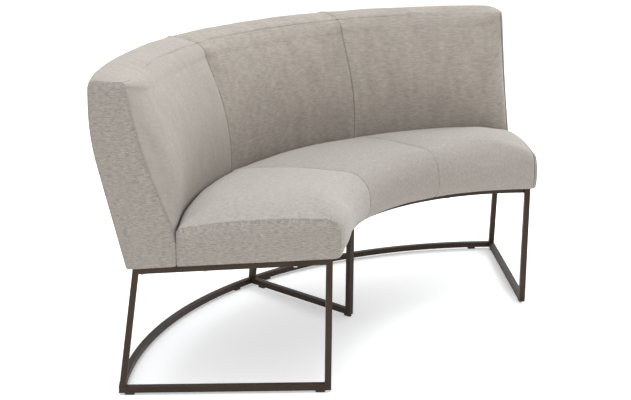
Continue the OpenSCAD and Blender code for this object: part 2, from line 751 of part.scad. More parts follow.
loop_tube(-half_angle, end_loop, 3);  // left_front_leg
loop_tube(-half_angle, end_loop, 1);  // left_rear_leg
floor_rail(-half_angle, end_loop);  // left_floor_rail
top_rail(-half_angle, end_loop);  // left_top_rail
middle_front_leg();
loop_tube(0, mid_loop, 1);  // middle_rear_leg
floor_rail(0, mid_loop);  // middle_floor_rail
middle_top_rail();
loop_tube(half_angle, end_loop, 3);  // right_front_leg
loop_tube(half_angle, end_loop, 1);  // right_rear_leg
floor_rail(half_angle, end_loop);  // right_floor_rail
top_rail(half_angle, end_loop);  // right_top_rail
floor_stretcher(-1);  // left_floor_stretcher
floor_stretcher(1);  // right_floor_stretcher
front_seat_rail();
rear_seat_rail(-1);  // left_rear_seat_rail
rear_seat_rail(1);  // right_rear_seat_rail
glides();
frame_screws();
threaded_inserts();
dust_cover();
apron(apron_r);  // seat_front_apron
apron(rear_apron_r - apron_t);  // seat_rear_apron
seat_rib(-half_angle);  // seat_rib_left_end
seat_rib(-half_angle/2);  // seat_rib_left
seat_rib(0);  // seat_rib_middle
seat_rib(half_angle/2);  // seat_rib_right
seat_rib(half_angle);  // seat_rib_right_end
seat_webbing();
seat_foam(-half_angle - seam_angle/2, -seam_angle);  // seat_foam_left
seat_foam(-seam_angle, seam_angle);  // seat_foam_middle
seat_foam(seam_angle, half_angle + seam_angle/2);  // seat_foam_right
mirror([1, 0, 0]) seat_cover(outer_spots);  // seat_cover_left
seat_cover(inner_spots);  // seat_cover_middle
seat_cover(outer_spots);  // seat_cover_right
mirror([1, 0, 0]) seat_end_panel();  // seat_end_panel_left
seat_end_panel();  // seat_end_panel_right
end_post(-1);  // back_post_left_end
back_post(-half_angle/2);  // back_post_left
back_post(0);  // back_post_middle
back_post(half_angle/2);  // back_post_right
end_post(1);  // back_post_right_end
back_panel();
back_top_rail();
back_foam(-half_angle - seam_angle/2, -seam_angle);  // back_foam_left
back_foam(-seam_angle, seam_angle);  // back_foam_middle
back_foam(seam_angle, half_angle + seam_angle/2);  // back_foam_right
mirror([1, 0, 0]) back_cover(outer_spots);  // back_cover_left
back_cover(inner_spots);  // back_cover_middle
back_cover(outer_spots);  // back_cover_right
mirror([1, 0, 0]) back_end_panel();  // back_end_panel_left
back_end_panel();  // back_end_panel_right
rear_cover();
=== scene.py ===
# %% [markdown]
# # A curved upholstered bench
#
# This lesson dresses a quarter-round banquette bench. The steel, the timber and the fixings come from the
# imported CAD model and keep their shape. The soft goods are made here: cushions, padded ends and the cover of
# the back, with their seams and stitches. Everything is in metres, +Z is up and the open side faces -Y.

# %% Load the fixed frame
import json
import math
import time

import bpy
import numpy as np
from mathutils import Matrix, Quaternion, Vector, noise


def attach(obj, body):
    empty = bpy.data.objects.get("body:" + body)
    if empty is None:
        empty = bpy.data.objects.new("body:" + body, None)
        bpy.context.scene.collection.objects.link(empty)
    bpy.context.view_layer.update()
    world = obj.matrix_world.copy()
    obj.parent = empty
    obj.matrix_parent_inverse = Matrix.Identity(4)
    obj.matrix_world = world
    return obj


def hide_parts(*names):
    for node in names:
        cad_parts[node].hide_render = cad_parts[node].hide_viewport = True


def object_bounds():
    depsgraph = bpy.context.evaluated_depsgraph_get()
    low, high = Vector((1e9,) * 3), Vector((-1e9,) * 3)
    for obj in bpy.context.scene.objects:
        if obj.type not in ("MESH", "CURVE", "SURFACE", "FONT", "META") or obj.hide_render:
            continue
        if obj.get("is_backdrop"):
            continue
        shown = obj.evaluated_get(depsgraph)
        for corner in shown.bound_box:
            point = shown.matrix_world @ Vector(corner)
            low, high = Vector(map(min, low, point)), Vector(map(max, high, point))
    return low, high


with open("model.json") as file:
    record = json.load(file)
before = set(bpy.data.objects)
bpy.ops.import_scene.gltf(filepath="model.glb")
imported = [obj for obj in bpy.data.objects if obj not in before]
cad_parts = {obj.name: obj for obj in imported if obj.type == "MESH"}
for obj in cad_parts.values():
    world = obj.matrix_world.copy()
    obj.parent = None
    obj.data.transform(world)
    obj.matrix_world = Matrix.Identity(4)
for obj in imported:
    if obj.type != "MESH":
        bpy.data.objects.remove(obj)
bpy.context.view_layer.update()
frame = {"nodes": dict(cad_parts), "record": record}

# %% [markdown]
# ## The camera
#
# The photograph was taken from the left front, a little above the seat. The camera stands where the steel
# frame's corners line up with the picture. A small lens shift slides the picture, as a shift lens does.

# %% Camera
PHOTO_W, SENSOR = 631, 36.0                # the picture in pixels, the sensor in millimetres
camera_place = Vector((-2.8413, -2.4629, 1.4394))
camera_azimuth, camera_height, camera_roll = math.radians(-47.806), math.radians(15.316), math.radians(0.425)
focal_pixels = 1371.4
shift_pixels = (-10, -25)


def put(name, data):
    """An object with this data, added to the scene."""
    made = bpy.data.objects.new(name, data)
    bpy.context.scene.collection.objects.link(made)
    return made


back = Vector((math.sin(camera_azimuth) * math.cos(camera_height),
               -math.cos(camera_azimuth) * math.cos(camera_height), math.sin(camera_height)))
camera_data = bpy.data.cameras.new("photo_camera")
camera_data.sensor_width = SENSOR
camera_data.lens = focal_pixels * SENSOR / PHOTO_W
camera_data.shift_x = -shift_pixels[0] / PHOTO_W
camera_data.shift_y = shift_pixels[1] / PHOTO_W
camera = put("photo_camera", camera_data)
camera.rotation_mode = "QUATERNION"
camera.rotation_quaternion = (-back).to_track_quat("-Z", "Y") @ Quaternion((0, 0, 1), camera_roll)
camera.location = camera_place
bpy.context.scene.camera = camera
print("lens", round(camera_data.lens, 2), "mm, shift", shift_pixels, "pixels")

# %% [markdown]
# ## Sizes and curves of the bench
#
# The bench is drawn in its side section, with r counted from the middle of the arc and z from the floor, both
# in millimetres. The section is then swept along the arc. Working in the section keeps every piece in line
# with the steel and the timber of the CAD model.

# %% Sizes in millimetres and degrees
MM = 0.001
HALF_TURN, SEAM_TURN = 45.0, 15.5          # where the bench ends, and where the sections meet
CENTRE_Y = 798.9792                        # the middle of the arc lies this far in front
LEG_R, FRAME_TOP, RAIL_FALL = 608.0, 356.0, 21.5 / 489
FLOOR_GAP, HEM_UP = 1.3, 1.0               # from the steel up to the pads' undersides and to their hems
SEAT_FRONT_R, SEAT_REAR_R, SEAT_SIDE, SEAT_FALL = 589.0, 990.0, 103.0, math.radians(3.2)
CREASE_Z = FRAME_TOP + 90                  # where the back comes out from behind the seat
HEM_R, BACK_TOP = 1111.0, 810.0
SHOULDER_Z, REAR_SEAM_Z = BACK_TOP - 74, BACK_TOP - 35
REAR_LEAN, REAR_BEND, END_LEAN = math.radians(14), 600.0, math.radians(2.5)
COVER_END, END_FACE = 12.4, 16.5           # from the ends of the arc out to the covers and the end panels


def mix(a, b, k):
    return a + (b - a) * k


def swell(x):
    """Rises from 0 to 1 in a quarter circle."""
    x = np.clip(x, 0.0, 1.0)
    return np.sqrt(1 - (1 - x) ** 2)


def rail_top(r):
    return FRAME_TOP - RAIL_FALL * (r - LEG_R)


def floor_z(r):
    return rail_top(r) + FLOOR_GAP


def seat_line(r):
    return FRAME_TOP + SEAT_SIDE - math.tan(SEAT_FALL) * (r - SEAT_FRONT_R)


BEND_Z = SHOULDER_Z - REAR_BEND * math.sin(REAR_LEAN)
HEM_Z = rail_top(HEM_R) - 1
OUT_R = HEM_R + math.tan(REAR_LEAN) * (BEND_Z - HEM_Z) + REAR_BEND * (1 - math.cos(REAR_LEAN))


def rear_r(z):
    if z >= SHOULDER_Z:
        return OUT_R
    if z >= BEND_Z:
        return OUT_R - REAR_BEND + math.sqrt(REAR_BEND ** 2 - (SHOULDER_Z - z) ** 2)
    return HEM_R + math.tan(REAR_LEAN) * (z - HEM_Z)


def arc(centre, radius, degrees):
    turns = [math.radians(a) for a in degrees]
    return [(centre[0] + radius * math.cos(a), centre[1] + radius * math.sin(a)) for a in turns]


def line(a, b, count):
    """Points from a towards b, without b."""
    return [(mix(a[0], b[0], i / count), mix(a[1], b[1], i / count)) for i in range(count)]


print("rear face at r =", round(OUT_R, 2), "mm")

# %% [markdown]
# ## Side sections of the cushions
#
# Each cushion has two outlines: a bare one, where it is sewn to its end panel, and a full one in its middle.
# Both have the same number of points, so any state between them is a mix. The inner line is where the foam
# rests on webbing, panel and rails, so it stays the same all along.

# %% Outline of the seat
# A pair holds the bare and the full state.
HEM_IN, HEM_TURN = 7, 40                   # the front face turns in above its hem
SEAT_NOSE, SEAT_ROLL = (42, 72), (10, 30)
SEAT_BULGE, FRONT_RISE, REAR_RISE, SEAT_CROWN = 30, 38, 19, 8      # what the full seat has more
SEAT_CORE_R, SEAT_CORE_UP = (599.6, 978.4), 51.9


def seat_outline(k):
    face_r = SEAT_FRONT_R - SEAT_BULGE * k
    nose, roll = mix(*SEAT_NOSE, k), mix(*SEAT_ROLL, k)
    rise, rear_rise = FRONT_RISE * k, REAR_RISE * k
    nose_c = (face_r + nose, seat_line(face_r + nose) + rise - nose)
    roll_c = (SEAT_REAR_R - roll, seat_line(SEAT_REAR_R - roll) + rear_rise - roll)
    hem = (SEAT_FRONT_R + HEM_IN, FRAME_TOP + HEM_UP)
    front = []
    for share in (0, 0.02, 0.05, 0.1, 0.18, 0.28, 0.4, 0.55, 0.7, 0.85):
        z = mix(hem[1], nose_c[1], share)
        front.append((mix(hem[0], face_r, float(swell((z - hem[1]) / HEM_TURN))), z))
    nose_part = arc(nose_c, nose, np.linspace(180, 90, 12))
    across = line((nose_c[0], rise), (roll_c[0], rear_rise), 34)
    top = [(r, seat_line(r) + up + SEAT_CROWN * math.sin(math.pi * i / 34))
           for i, (r, up) in enumerate(across)][1:]
    roll_part = arc(roll_c, roll, np.linspace(90, 0, 6))
    end = (SEAT_REAR_R, floor_z(SEAT_REAR_R))
    rear = line(roll_part[-1], end, 5)[1:] + [end]
    parts = [front, nose_part, top, roll_part, rear]
    return np.array(sum(parts, [])), [len(p) for p in parts]


def seat_inside():
    counts = seat_outline(1)[1]
    under = [(r, floor_z(r) + SEAT_CORE_UP) for r in SEAT_CORE_R]
    front = line((SEAT_CORE_R[0], FRAME_TOP + HEM_UP), under[0], counts[0] + 4)
    bed = line(under[0], under[1], sum(counts[1:4]) - 4)
    last = (SEAT_CORE_R[1], floor_z(SEAT_CORE_R[1]))
    return np.array(front + bed + line(under[1], last, counts[4] - 1) + [last])

# %% Outline of the back
BOXING_SEAM = 105.0        # where on the rounded front edge the top strip is sewn on
NOSE_TURNS = [180, 171, 162, 153, 144, 135, 127, 120, 114.5, 110.5, 107.6, 106.2, BOXING_SEAM,
              103.8, 102.4, 99.5, 95.5, 90]
BACK_FOOT, BACK_LOW, BACK_HEAD = (12, -9), (8, 0.4), (89, 136)
BACK_NOSE, BACK_BELLY = (14, 43), (-12, 28)
BARE_DROP, NOSE_DROP, REAR_ROLL = 16, 13, 16       # the bare top and the full front edge lie lower
KNEE_IN, LOW_DROP, KNEE_DROP = 0.4, 16, 44
BACK_CORE_R, BACK_CORE_TOP, PANEL_R, REAR_PAD = (1037.4, 1129.0), 783.0, 1043.0, 8.6


def back_outline(k):
    foot = (SEAT_REAR_R + mix(*BACK_FOOT, k), CREASE_Z)
    low = (SEAT_REAR_R + mix(*BACK_LOW, k), CREASE_Z - LOW_DROP)
    knee = (SEAT_REAR_R + KNEE_IN, CREASE_Z - KNEE_DROP)
    head_r = OUT_R - mix(*BACK_HEAD, k)
    nose, belly = mix(*BACK_NOSE, k), mix(*BACK_BELLY, k)
    top = BACK_TOP - BARE_DROP * (1 - k)
    nose_c = (head_r + nose, top - NOSE_DROP * k - nose)
    roll_c = (OUT_R - REAR_ROLL, top - REAR_ROLL)
    hidden = line((knee[0], floor_z(SEAT_REAR_R)), knee, 4) + line(knee, low, 3) + line(low, foot, 2)
    straight = line(foot, (head_r, nose_c[1]), 36)
    face = [(r - belly * math.sin(math.pi * i / 36), z) for i, (r, z) in enumerate(straight)]
    nose_part = arc(nose_c, nose, NOSE_TURNS)
    roll_part = arc(roll_c, REAR_ROLL, np.linspace(90, 0, 6))
    flat = line(nose_part[-1], roll_part[0], 9)[1:]
    rear = line(roll_part[-1], (OUT_R, REAR_SEAM_Z), 4)[1:] + [(OUT_R, REAR_SEAM_Z)]
    parts = [hidden, face, nose_part, flat, roll_part, rear]
    return np.array(sum(parts, [])), [len(p) for p in parts]


def back_inside():
    counts = back_outline(1)[1]
    foot, head = (BACK_CORE_R[0], floor_z(PANEL_R)), (BACK_CORE_R[1], BACK_CORE_TOP)
    over, last = (OUT_R - REAR_PAD, BACK_CORE_TOP), (OUT_R - REAR_PAD, REAR_SEAM_Z)
    up = line(foot, head, counts[0] + counts[1] + 10)
    return np.array(up + line(head, over, sum(counts[2:5]) - 12) + line(over, last, counts[5] + 1) + [last])


for title, made, inside in (("seat", seat_outline, seat_inside), ("back", back_outline, back_inside)):
    assert len(made(0)[0]) == len(made(1)[0]) == len(inside()), (len(made(1)[0]), len(inside()))
    print(title, "outline:", len(made(1)[0]), "points in", made(1)[1])

# %% [markdown]
# ## Sweeping a section along the arc
#
# A cushion is a band: an outer skin and an inner skin, closed at its two ends and along its hems. Rings of
# points stand close together near the seams, where the fabric turns in, and about a centimetre apart
# elsewhere. Each point also remembers its distance to the seams, which later steps read.

# %% Rings along the arc
EDGE_STEPS = [0, 0.8, 1.8, 3.0, 4.6, 7, 10.5, 15.5, 22, 30, 39]      # rings beside a seam
REF_R = 900.0              # arcs are measured on this radius


def spread(length, step=10.5):
    """Distances from one seam to the other, fine near both."""
    inner_from, inner_to = EDGE_STEPS[-1], length - EDGE_STEPS[-1]
    count = round((inner_to - inner_from) / step)
    middle = [mix(inner_from, inner_to, i / count) for i in range(1, count)]
    return EDGE_STEPS + middle + [length - s for s in reversed(EDGE_STEPS)]


def stations(ends_open):
    """Angle and sideways distance of each ring: the middle section, or with ends_open the right one."""
    if not ends_open:
        length = math.radians(2 * SEAM_TURN) * REF_R
        return [(-SEAM_TURN + math.degrees(s / REF_R), 0.0) for s in spread(length)]
    length = math.radians(HALF_TURN - SEAM_TURN) * REF_R + COVER_END
    out = []
    for s in spread(length):
        to_end = length - s
        if to_end <= COVER_END:
            out.append((HALF_TURN, COVER_END - to_end))
        else:
            out.append((HALF_TURN - math.degrees((to_end - COVER_END) / REF_R), 0.0))
    return out


def placed(r, z, turn, side, lean=0.0):
    """Place in metres of points at an angle and a sideways distance. The ends of the back lean inwards."""
    share = max(0.0, abs(turn) - SEAM_TURN) / (HALF_TURN - SEAM_TURN)
    a = math.radians(turn) - math.copysign(share * math.tan(lean), turn) * (z - FRAME_TOP) / r
    return np.stack([(r * np.sin(a) + side * np.cos(a)) * MM,
                     (r * np.cos(a) - side * np.sin(a) - CENTRE_Y) * MM, z * MM + 0 * r], -1)


def arc_gaps(r, turn, side):
    to_end = np.radians(HALF_TURN - abs(turn)) * r + COVER_END - side
    to_seam = np.radians(abs(abs(turn) - SEAM_TURN)) * r + side
    return to_end, to_seam

print("rings of an end section:", len(stations(True)), "and of the middle one:", len(stations(False)))

# %% How full the pad is
NOTCH = 38                             # how far a drawn-in seam reaches
STRIP_FROM, STRIP_OVER = 130, 190      # the top strip's seam fades in here, counted from the bench's end


def fullness(to_end, to_seam, edge_w, gentle, dip):
    """0 at the end seam and 1 where the pad is full. A gentle end rises in a slope, not in a round edge."""
    x = np.clip(to_end / edge_w, 0, 1)
    return mix(swell(x), 1 - (1 - x) ** 2, gentle) * (1 - dip * (1 - swell(to_seam / NOTCH)))


def boxing_strength(to_end):
    """The seam of the top strip runs out towards the ends of the bench, where the strip is drawn smooth."""
    share = np.clip((to_end - STRIP_FROM) / STRIP_OVER, 0, 1)
    return share * share * (3 - 2 * share)


def lengths(points):
    return np.concatenate([[0], np.cumsum(np.linalg.norm(np.diff(points, axis=0), axis=1))])


# %% From points to a mesh
def build_mesh(name, points, faces, facts, uv, mirrored):
    """A mesh object from points in metres, with one number per point for each fact and a UV in metres."""
    points = np.array(points)
    if mirrored:
        points = points * np.array([-1, 1, 1])
        faces = [f[::-1] for f in faces]
    mesh = bpy.data.meshes.new(name)
    mesh.from_pydata([tuple(p) for p in points], [], faces)
    for key, values in facts.items():
        mesh.attributes.new(key, "FLOAT", "POINT").data.foreach_set("value", np.array(values, np.float32))
    layer = mesh.uv_layers.new(name="UVMap")
    corner = np.array([l.vertex_index for l in mesh.loops])
    layer.data.foreach_set("uv", np.array(uv, np.float32)[corner].ravel())
    mesh.validate()
    mesh.polygons.foreach_set("use_smooth", [True] * len(mesh.polygons))
    return put(name, mesh)


def add_ring(facts, count, **values):
    """Notes what the later steps want to know about each point of one ring."""
    for key, value in values.items():
        facts.setdefault(key, []).extend(np.broadcast_to(value, count))


def shell_faces(rings, count, turned=False):
    """The faces of a closed band of two skins. turned makes them face the other way."""
    faces = []
    def quad(*corners):
        faces.append(tuple((2 * j + layer) * count + i for j, i, layer in corners))
    last, top = rings - 1, count - 1
    for j in range(last):
        for i in range(top):
            quad((j, i, 0), (j + 1, i, 0), (j + 1, i + 1, 0), (j, i + 1, 0))
            quad((j, i, 1), (j, i + 1, 1), (j + 1, i + 1, 1), (j + 1, i, 1))
        quad((j, 0, 0), (j, 0, 1), (j + 1, 0, 1), (j + 1, 0, 0))
        quad((j + 1, top, 0), (j + 1, top, 1), (j, top, 1), (j, top, 0))
    for i in range(top):
        quad((0, i, 0), (0, i + 1, 0), (0, i + 1, 1), (0, i, 1))
        quad((last, i, 0), (last, i, 1), (last, i + 1, 1), (last, i + 1, 0))
    return [(f[0], *f[:0:-1]) for f in faces] if turned else faces

# %% A closed band
FAR = 999.0                # distance to a seam that a piece doesn't have
MOVED_OFF = 60             # how far the top seam seems away where it has run out


def band(name, bare, full, inside, rings, edges, dip, pinned, mirrored, lean=0.0, seam_index=None):
    """Sweeps the two outlines into a closed band. pinned says which outline points the stuffing can't move."""
    count, along = len(bare), lengths(full)
    points, uv, facts = [], [], {}
    for ring in rings:
        turn, side = ring
        to_end, to_seam = arc_gaps(full[:, 0], turn, side)
        to_strip, held = FAR, np.array(pinned)
        if seam_index is not None:
            strength = boxing_strength(to_end[seam_index])
            to_strip = np.abs(along - along[seam_index]) + MOVED_OFF * (1 - strength)
            held[seam_index] *= strength
        if ring in (rings[0], rings[-1]):
            held[:] = 1.0
        outer = mix(bare, full, fullness(to_end, to_seam, *edges, dip)[:, None])
        sweep = (math.radians(turn) * REF_R + side) * MM
        for part, is_skin, pin in ((outer, 1.0, held), (inside, 0.0, 1.0)):
            points.extend(placed(part[:, 0], part[:, 1], turn, side, lean))
            add_ring(facts, count, to_end=to_end, to_seam=to_seam, to_boxing=to_strip, along=along,
                     skin=is_skin, pin=pin)
            uv.extend(np.stack([np.full(count, sweep), along * MM], -1))
    return build_mesh(name, points, shell_faces(len(rings), count), facts, uv, mirrored)


# %% [markdown]
# ## The six cushions
#
# On the real bench each section is a foam block in a tight sewn cover. The shape starts a few millimetres
# too thin, so that the stuffing pushes it out to its true size in a later step.

# %% Cushions as bands
pads = {}
# Width of the slope at the end and how gentle it is, at the first and last point of each part of the outline.
SEAT_EDGE = [(100, 100), (100, 100), (100, 40), (40, 40), (40, 40)]
SEAT_GENTLE = [(0, 0), (0, 0.2), (0.2, 0.1), (0.1, 0), (0, 0)]
BACK_EDGE = [(35, 35), (35, 120), (120, 60), (55, 45), (45, 45), (45, 45)]
BACK_GENTLE = [(0.1, 0.1), (0.1, 0.7), (0.7, 0.2), (0.2, 0.1), (0.1, 0.1), (0.1, 0.1)]
SEAM_DIP = 0.15            # how much less full a cushion is at the seam to its neighbour
STRIP_HOLD = 0.8           # how firmly the seam of the top strip is held


def by_point(counts, pairs):
    """One number for each outline point, blended from the first to the last point of each part."""
    return np.concatenate([np.linspace(a, b, count) for count, (a, b) in zip(counts, pairs)])


seat_bare, seat_counts = seat_outline(0)
seat_full = seat_outline(1)[0]
back_bare, back_counts = back_outline(0)
back_full = back_outline(1)[0]
boxing_index = sum(back_counts[:2]) + NOSE_TURNS.index(BOXING_SEAM)
free, fixed = (0, 0), (1, 1)
seat_pins = by_point(seat_counts, [free] * 4 + [fixed])
seat_pins[:4] = 1          # the hem is stapled on
back_pins = by_point(back_counts, [fixed] + [free] * 4 + [fixed])
back_pins[boxing_index] = STRIP_HOLD
boxing_at = lengths(back_full)[boxing_index]
seat_edges = by_point(seat_counts, SEAT_EDGE), by_point(seat_counts, SEAT_GENTLE)
back_edges = by_point(back_counts, BACK_EDGE), by_point(back_counts, BACK_GENTLE)
back_dip = np.where(np.arange(len(back_full)) > boxing_index, 0.0, SEAM_DIP)
for place, ends_open, mirrored in (("left", True, True), ("middle", False, False), ("right", True, False)):
    rings = stations(ends_open)
    pads["seat_cushion_" + place] = band("seat_cushion_" + place, seat_bare, seat_full, seat_inside(), rings,
                                         seat_edges, SEAM_DIP, seat_pins, mirrored)
    pads["back_cushion_" + place] = band("back_cushion_" + place, back_bare, back_full, back_inside(), rings,
                                         back_edges, back_dip, back_pins, mirrored, END_LEAN, boxing_index)
for name, piece in pads.items():
    print(name, len(piece.data.vertices), "points")

# %% [markdown]
# ## Padded end panels
#
# The ends of seat and back are closed by padded panels that are sewn on round their edge. Rings shrink from
# the sewn edge towards a line along the panel's middle, and swell outwards as they do.

# %% Panel shape
# Inset and height of the rings of the sewn edge, then shares of the way from the edge to the middle line.
PANEL_RINGS = [(1.8, 12.5), (0.7, 12.9), (0.1, 13.8), (0.0, 14.8), (0.5, 16.1), (1.8, 17.1)]
RIM_DEPTH = {"left": 1.0, "right": 0.4}    # the right end is drawn tighter than the left
PANEL_SHARES = [0.03, 0.07, 0.12, 0.2, 0.3, 0.42, 0.55, 0.68, 0.8, 0.91]
FOLD_FROM, FOLD_OVER = FRAME_TOP + 25, 45  # up to here the panels of seat and back lie close together
PINNED_RINGS, PANEL_LIFT, RIM_STEP = 5, 0.8, 9


def nearest(points, a, b):
    a, b = np.array(a), np.array(b)
    share = np.clip(((points - a) @ (b - a)) / ((b - a) @ (b - a)), 0, 1)
    return a + share[:, None] * (b - a)


def even(points, step):
    """The same line with points about step apart, its corners kept by the close spacing."""
    run = lengths(points)
    count = max(2, round(run[-1] / step))
    at = np.linspace(0, run[-1], count + 1)
    return np.stack([np.interp(at, run, points[:, 0]), np.interp(at, run, points[:, 1])], -1)


def end_panel(name, outline, a, b, rise, lean, mirrored):
    """A padded panel in an outline. Its middle line runs from a to b and stands out by rise."""
    count = len(outline)
    spine = nearest(outline, a, b)
    reach = np.linalg.norm(spine - outline, axis=1)
    inward = (spine - outline) / reach[:, None]
    shared = np.abs(outline[:, 0] - SEAT_REAR_R) < 3
    loose = np.where(shared, np.clip((outline[:, 1] - FOLD_FROM) / FOLD_OVER, 0.1, 1.0), 1.0)
    drawn_in = loose * RIM_DEPTH[name.split("_")[-1]]
    rings = [(outline + inward * (inset * drawn_in)[:, None], side, inset) for inset, side in PANEL_RINGS]
    for share in PANEL_SHARES:
        soft = mix(1 - (1 - share) ** 2, float(swell(share)), loose)
        rings.append((mix(outline, spine, share), END_FACE + rise * soft + PANEL_LIFT, reach * share))
    points, uv, facts = [], [], {}
    for j, (ring, side, rim) in enumerate(rings):
        points.extend(placed(ring[:, 0], ring[:, 1], HALF_TURN, side, lean))
        add_ring(facts, count, to_rim=rim, along=lengths(outline), pin=1.0 if j < PINNED_RINGS else 0.0)
        uv.extend(ring * MM)
    faces = []
    for j in range(len(rings) - 1):
        for i in range(count):
            here, on = j * count + i, j * count + (i + 1) % count
            faces.append((here + count, on + count, on, here))
    def bridge(ring, base, flip):
        i, j = 0, count - 1
        while j - i > 1:
            if np.linalg.norm(ring[i + 1] - ring[j]) < np.linalg.norm(ring[i] - ring[j - 1]):
                face, i = (i, j, i + 1), i + 1
            else:
                face, j = (i, j, j - 1), j - 1
            face = tuple(base + v for v in face)
            faces.append(face[::-1] if flip else face)
    bridge(rings[0][0], 0, True)
    bridge(rings[-1][0], (len(rings) - 1) * count, False)
    return build_mesh(name, points, faces, facts, uv, mirrored)


# %% The four end panels
seat_rim = np.vstack([seat_bare[:-1], [(SEAT_REAR_R, rail_top(SEAT_REAR_R) + HEM_UP)]])
seat_rim = np.vstack([even(seat_rim, RIM_STEP), line(seat_rim[-1], seat_rim[0], 40)[1:]])
rear_levels = [(rear_r(z), z) for z in np.linspace(REAR_SEAM_Z, HEM_Z + HEM_UP, 44)[1:]]
back_rim = np.vstack([[(SEAT_REAR_R + KNEE_IN, rail_top(SEAT_REAR_R) + HEM_UP)], back_bare[1:-1], rear_levels])
back_rim = np.vstack([even(back_rim, RIM_STEP), line(back_rim[-1], back_rim[0], 13)[1:]])
front_r, rear_spot = SEAT_FRONT_R + SEAT_SIDE / 2, SEAT_REAR_R - SEAT_SIDE / 4
seat_spine = [(front_r, (FRAME_TOP + seat_line(front_r)) / 2),
              (rear_spot, (rail_top(rear_spot) + seat_line(rear_spot)) / 2)]
low_half, high_half = 60.5, 44.5           # half the thickness of the back, low and high
low_z, high_z = FRAME_TOP + low_half, BACK_TOP - high_half
back_spine = [(rear_r(low_z) - low_half, low_z), (rear_r(high_z) - high_half, high_z)]
SEAT_PANEL_RISE, BACK_PANEL_RISE = 14, 5
for place, mirrored in (("left", True), ("right", False)):
    for part, rim, spine, rise, lean in (("seat", seat_rim, seat_spine, SEAT_PANEL_RISE, 0.0),
                                         ("back", back_rim, back_spine, BACK_PANEL_RISE, END_LEAN)):
        name = f"{part}_end_{place}"
        pads[name] = end_panel(name, rim, *spine, rise, lean, mirrored)
print("end panels:", len(seat_rim), "and", len(back_rim), "points round the edge")

# %% [markdown]
# ## The cover of the rear face
#
# The rear of the back is covered by three sewn lengths of the same fabric over thin wadding.

# %% Rear cover
REAR_OUT, REAR_IN = 1.2, 4                 # the full cover stands out, and the inner skin lies in
REAR_TURN, REAR_EDGE, REAR_DIP = 40, (30, 0.0), 0.5
REAR_REF_R, REAR_TOP_Z = 1150, REAR_SEAM_Z - 0.3


def rear_cover():
    levels = np.linspace(HEM_Z, REAR_TOP_Z, 48)
    face = np.array([rear_r(z) for z in levels])
    plump = REAR_OUT * swell(np.minimum(levels - HEM_Z, REAR_SEAM_Z - levels) / REAR_TURN)
    bare, full, inner = (np.stack([face + out, levels], -1) for out in (-REAR_OUT, plump, -REAR_IN))
    right, middle = stations(True), stations(False)
    rings = [(-turn, -side) for turn, side in reversed(right)] + middle[1:-1] + right
    count = len(levels)
    points, uv, facts = [], [], {}
    for turn, side in rings:
        to_end, to_seam = arc_gaps(full[:, 0], turn, abs(side))
        outer = mix(bare, full, fullness(to_end, to_seam, *REAR_EDGE, REAR_DIP)[:, None])
        sweep = (math.radians(turn) * REAR_REF_R + side) * MM
        for part, is_skin in ((outer, 1.0), (inner, 0.0)):
            points.extend(placed(part[:, 0], part[:, 1], turn, side, END_LEAN))
            add_ring(facts, count, to_end=to_end, to_seam=to_seam, to_boxing=REAR_TOP_Z - levels,
                     along=lengths(bare), skin=is_skin, pin=1.0)
            uv.extend(np.stack([np.full(count, sweep), levels * MM], -1))
    return build_mesh("rear_cover_panel", points, shell_faces(len(rings), count, True), facts, uv, False)


pads["rear_cover_panel"] = rear_cover()
print("rear cover:", len(pads["rear_cover_panel"].data.vertices), "points")

# %% [markdown]
# ## Stuffing the pads
#
# Cloth simulation with pressure gives the fabric its tension: it swells between the seams and stays drawn in
# where it is sewn down. The seams and the hidden sides are pinned. How far a point may move is capped, and
# the result becomes the mesh, so no simulation is left on the piece.

# %% Numbers of a mesh
def read(items, key, width):
    """One kind of number for every point or edge of a mesh, in rows of that width."""
    out = np.empty(len(items) * width, np.float32)
    items.foreach_get(key, out)
    return out.reshape(-1, width).astype(float)


def read_points(mesh):
    return read(mesh.vertices, "co", 3)


def read_normals(mesh):
    return read(mesh.vertices, "normal", 3)


def write_points(mesh, points):
    mesh.vertices.foreach_set("co", np.array(points, np.float32).ravel())
    mesh.update()


def fact(mesh, key):
    return read(mesh.attributes[key].data, "value", 1)[:, 0]


# %% How free the fabric is
FREE_FROM = 40             # millimetres from a seam to where the fabric moves freely


def slack(mesh):
    """How free each point is: 0 at the seams and pins, 1 about 4 cm away from them."""
    if "to_rim" in mesh.attributes:
        near = fact(mesh, "to_rim")
    else:
        near = np.minimum.reduce([fact(mesh, "to_end"), fact(mesh, "to_seam"), fact(mesh, "to_boxing") + 4])
    return (1 - fact(mesh, "pin")) * swell(near / FREE_FROM)


# %% Cloth with pressure
START_IN, MOST_MOVE = 4.5 * MM, 9 * MM
FRAMES = 20
IRONED = 0.8               # how much of the small wrinkling is ironed out
CLOTH = {"quality": 5, "mass": 0.25, "tension_stiffness": 25, "compression_stiffness": 10,
         "shear_stiffness": 8, "bending_stiffness": 0.8, "vertex_group_mass": "pin",
         "use_pressure": True, "uniform_pressure_force": 4}


def smoothed(mesh, move, rounds=10):
    """Averages the movement of each point with its neighbours, which irons out small wrinkles."""
    ends = np.empty(len(mesh.edges) * 2, np.int32)
    mesh.edges.foreach_get("vertices", ends)
    a, b = ends.reshape(-1, 2).T
    count = np.maximum(np.bincount(np.concatenate([a, b]), minlength=len(move)), 1)[:, None]
    free = (1 - fact(mesh, "pin"))[:, None]
    for _ in range(rounds):
        total = np.zeros_like(move)
        for c in range(3):
            total[:, c] = np.bincount(a, move[b, c], len(move)) + np.bincount(b, move[a, c], len(move))
        move = mix(move, total / count, 0.5 * free)
    return move


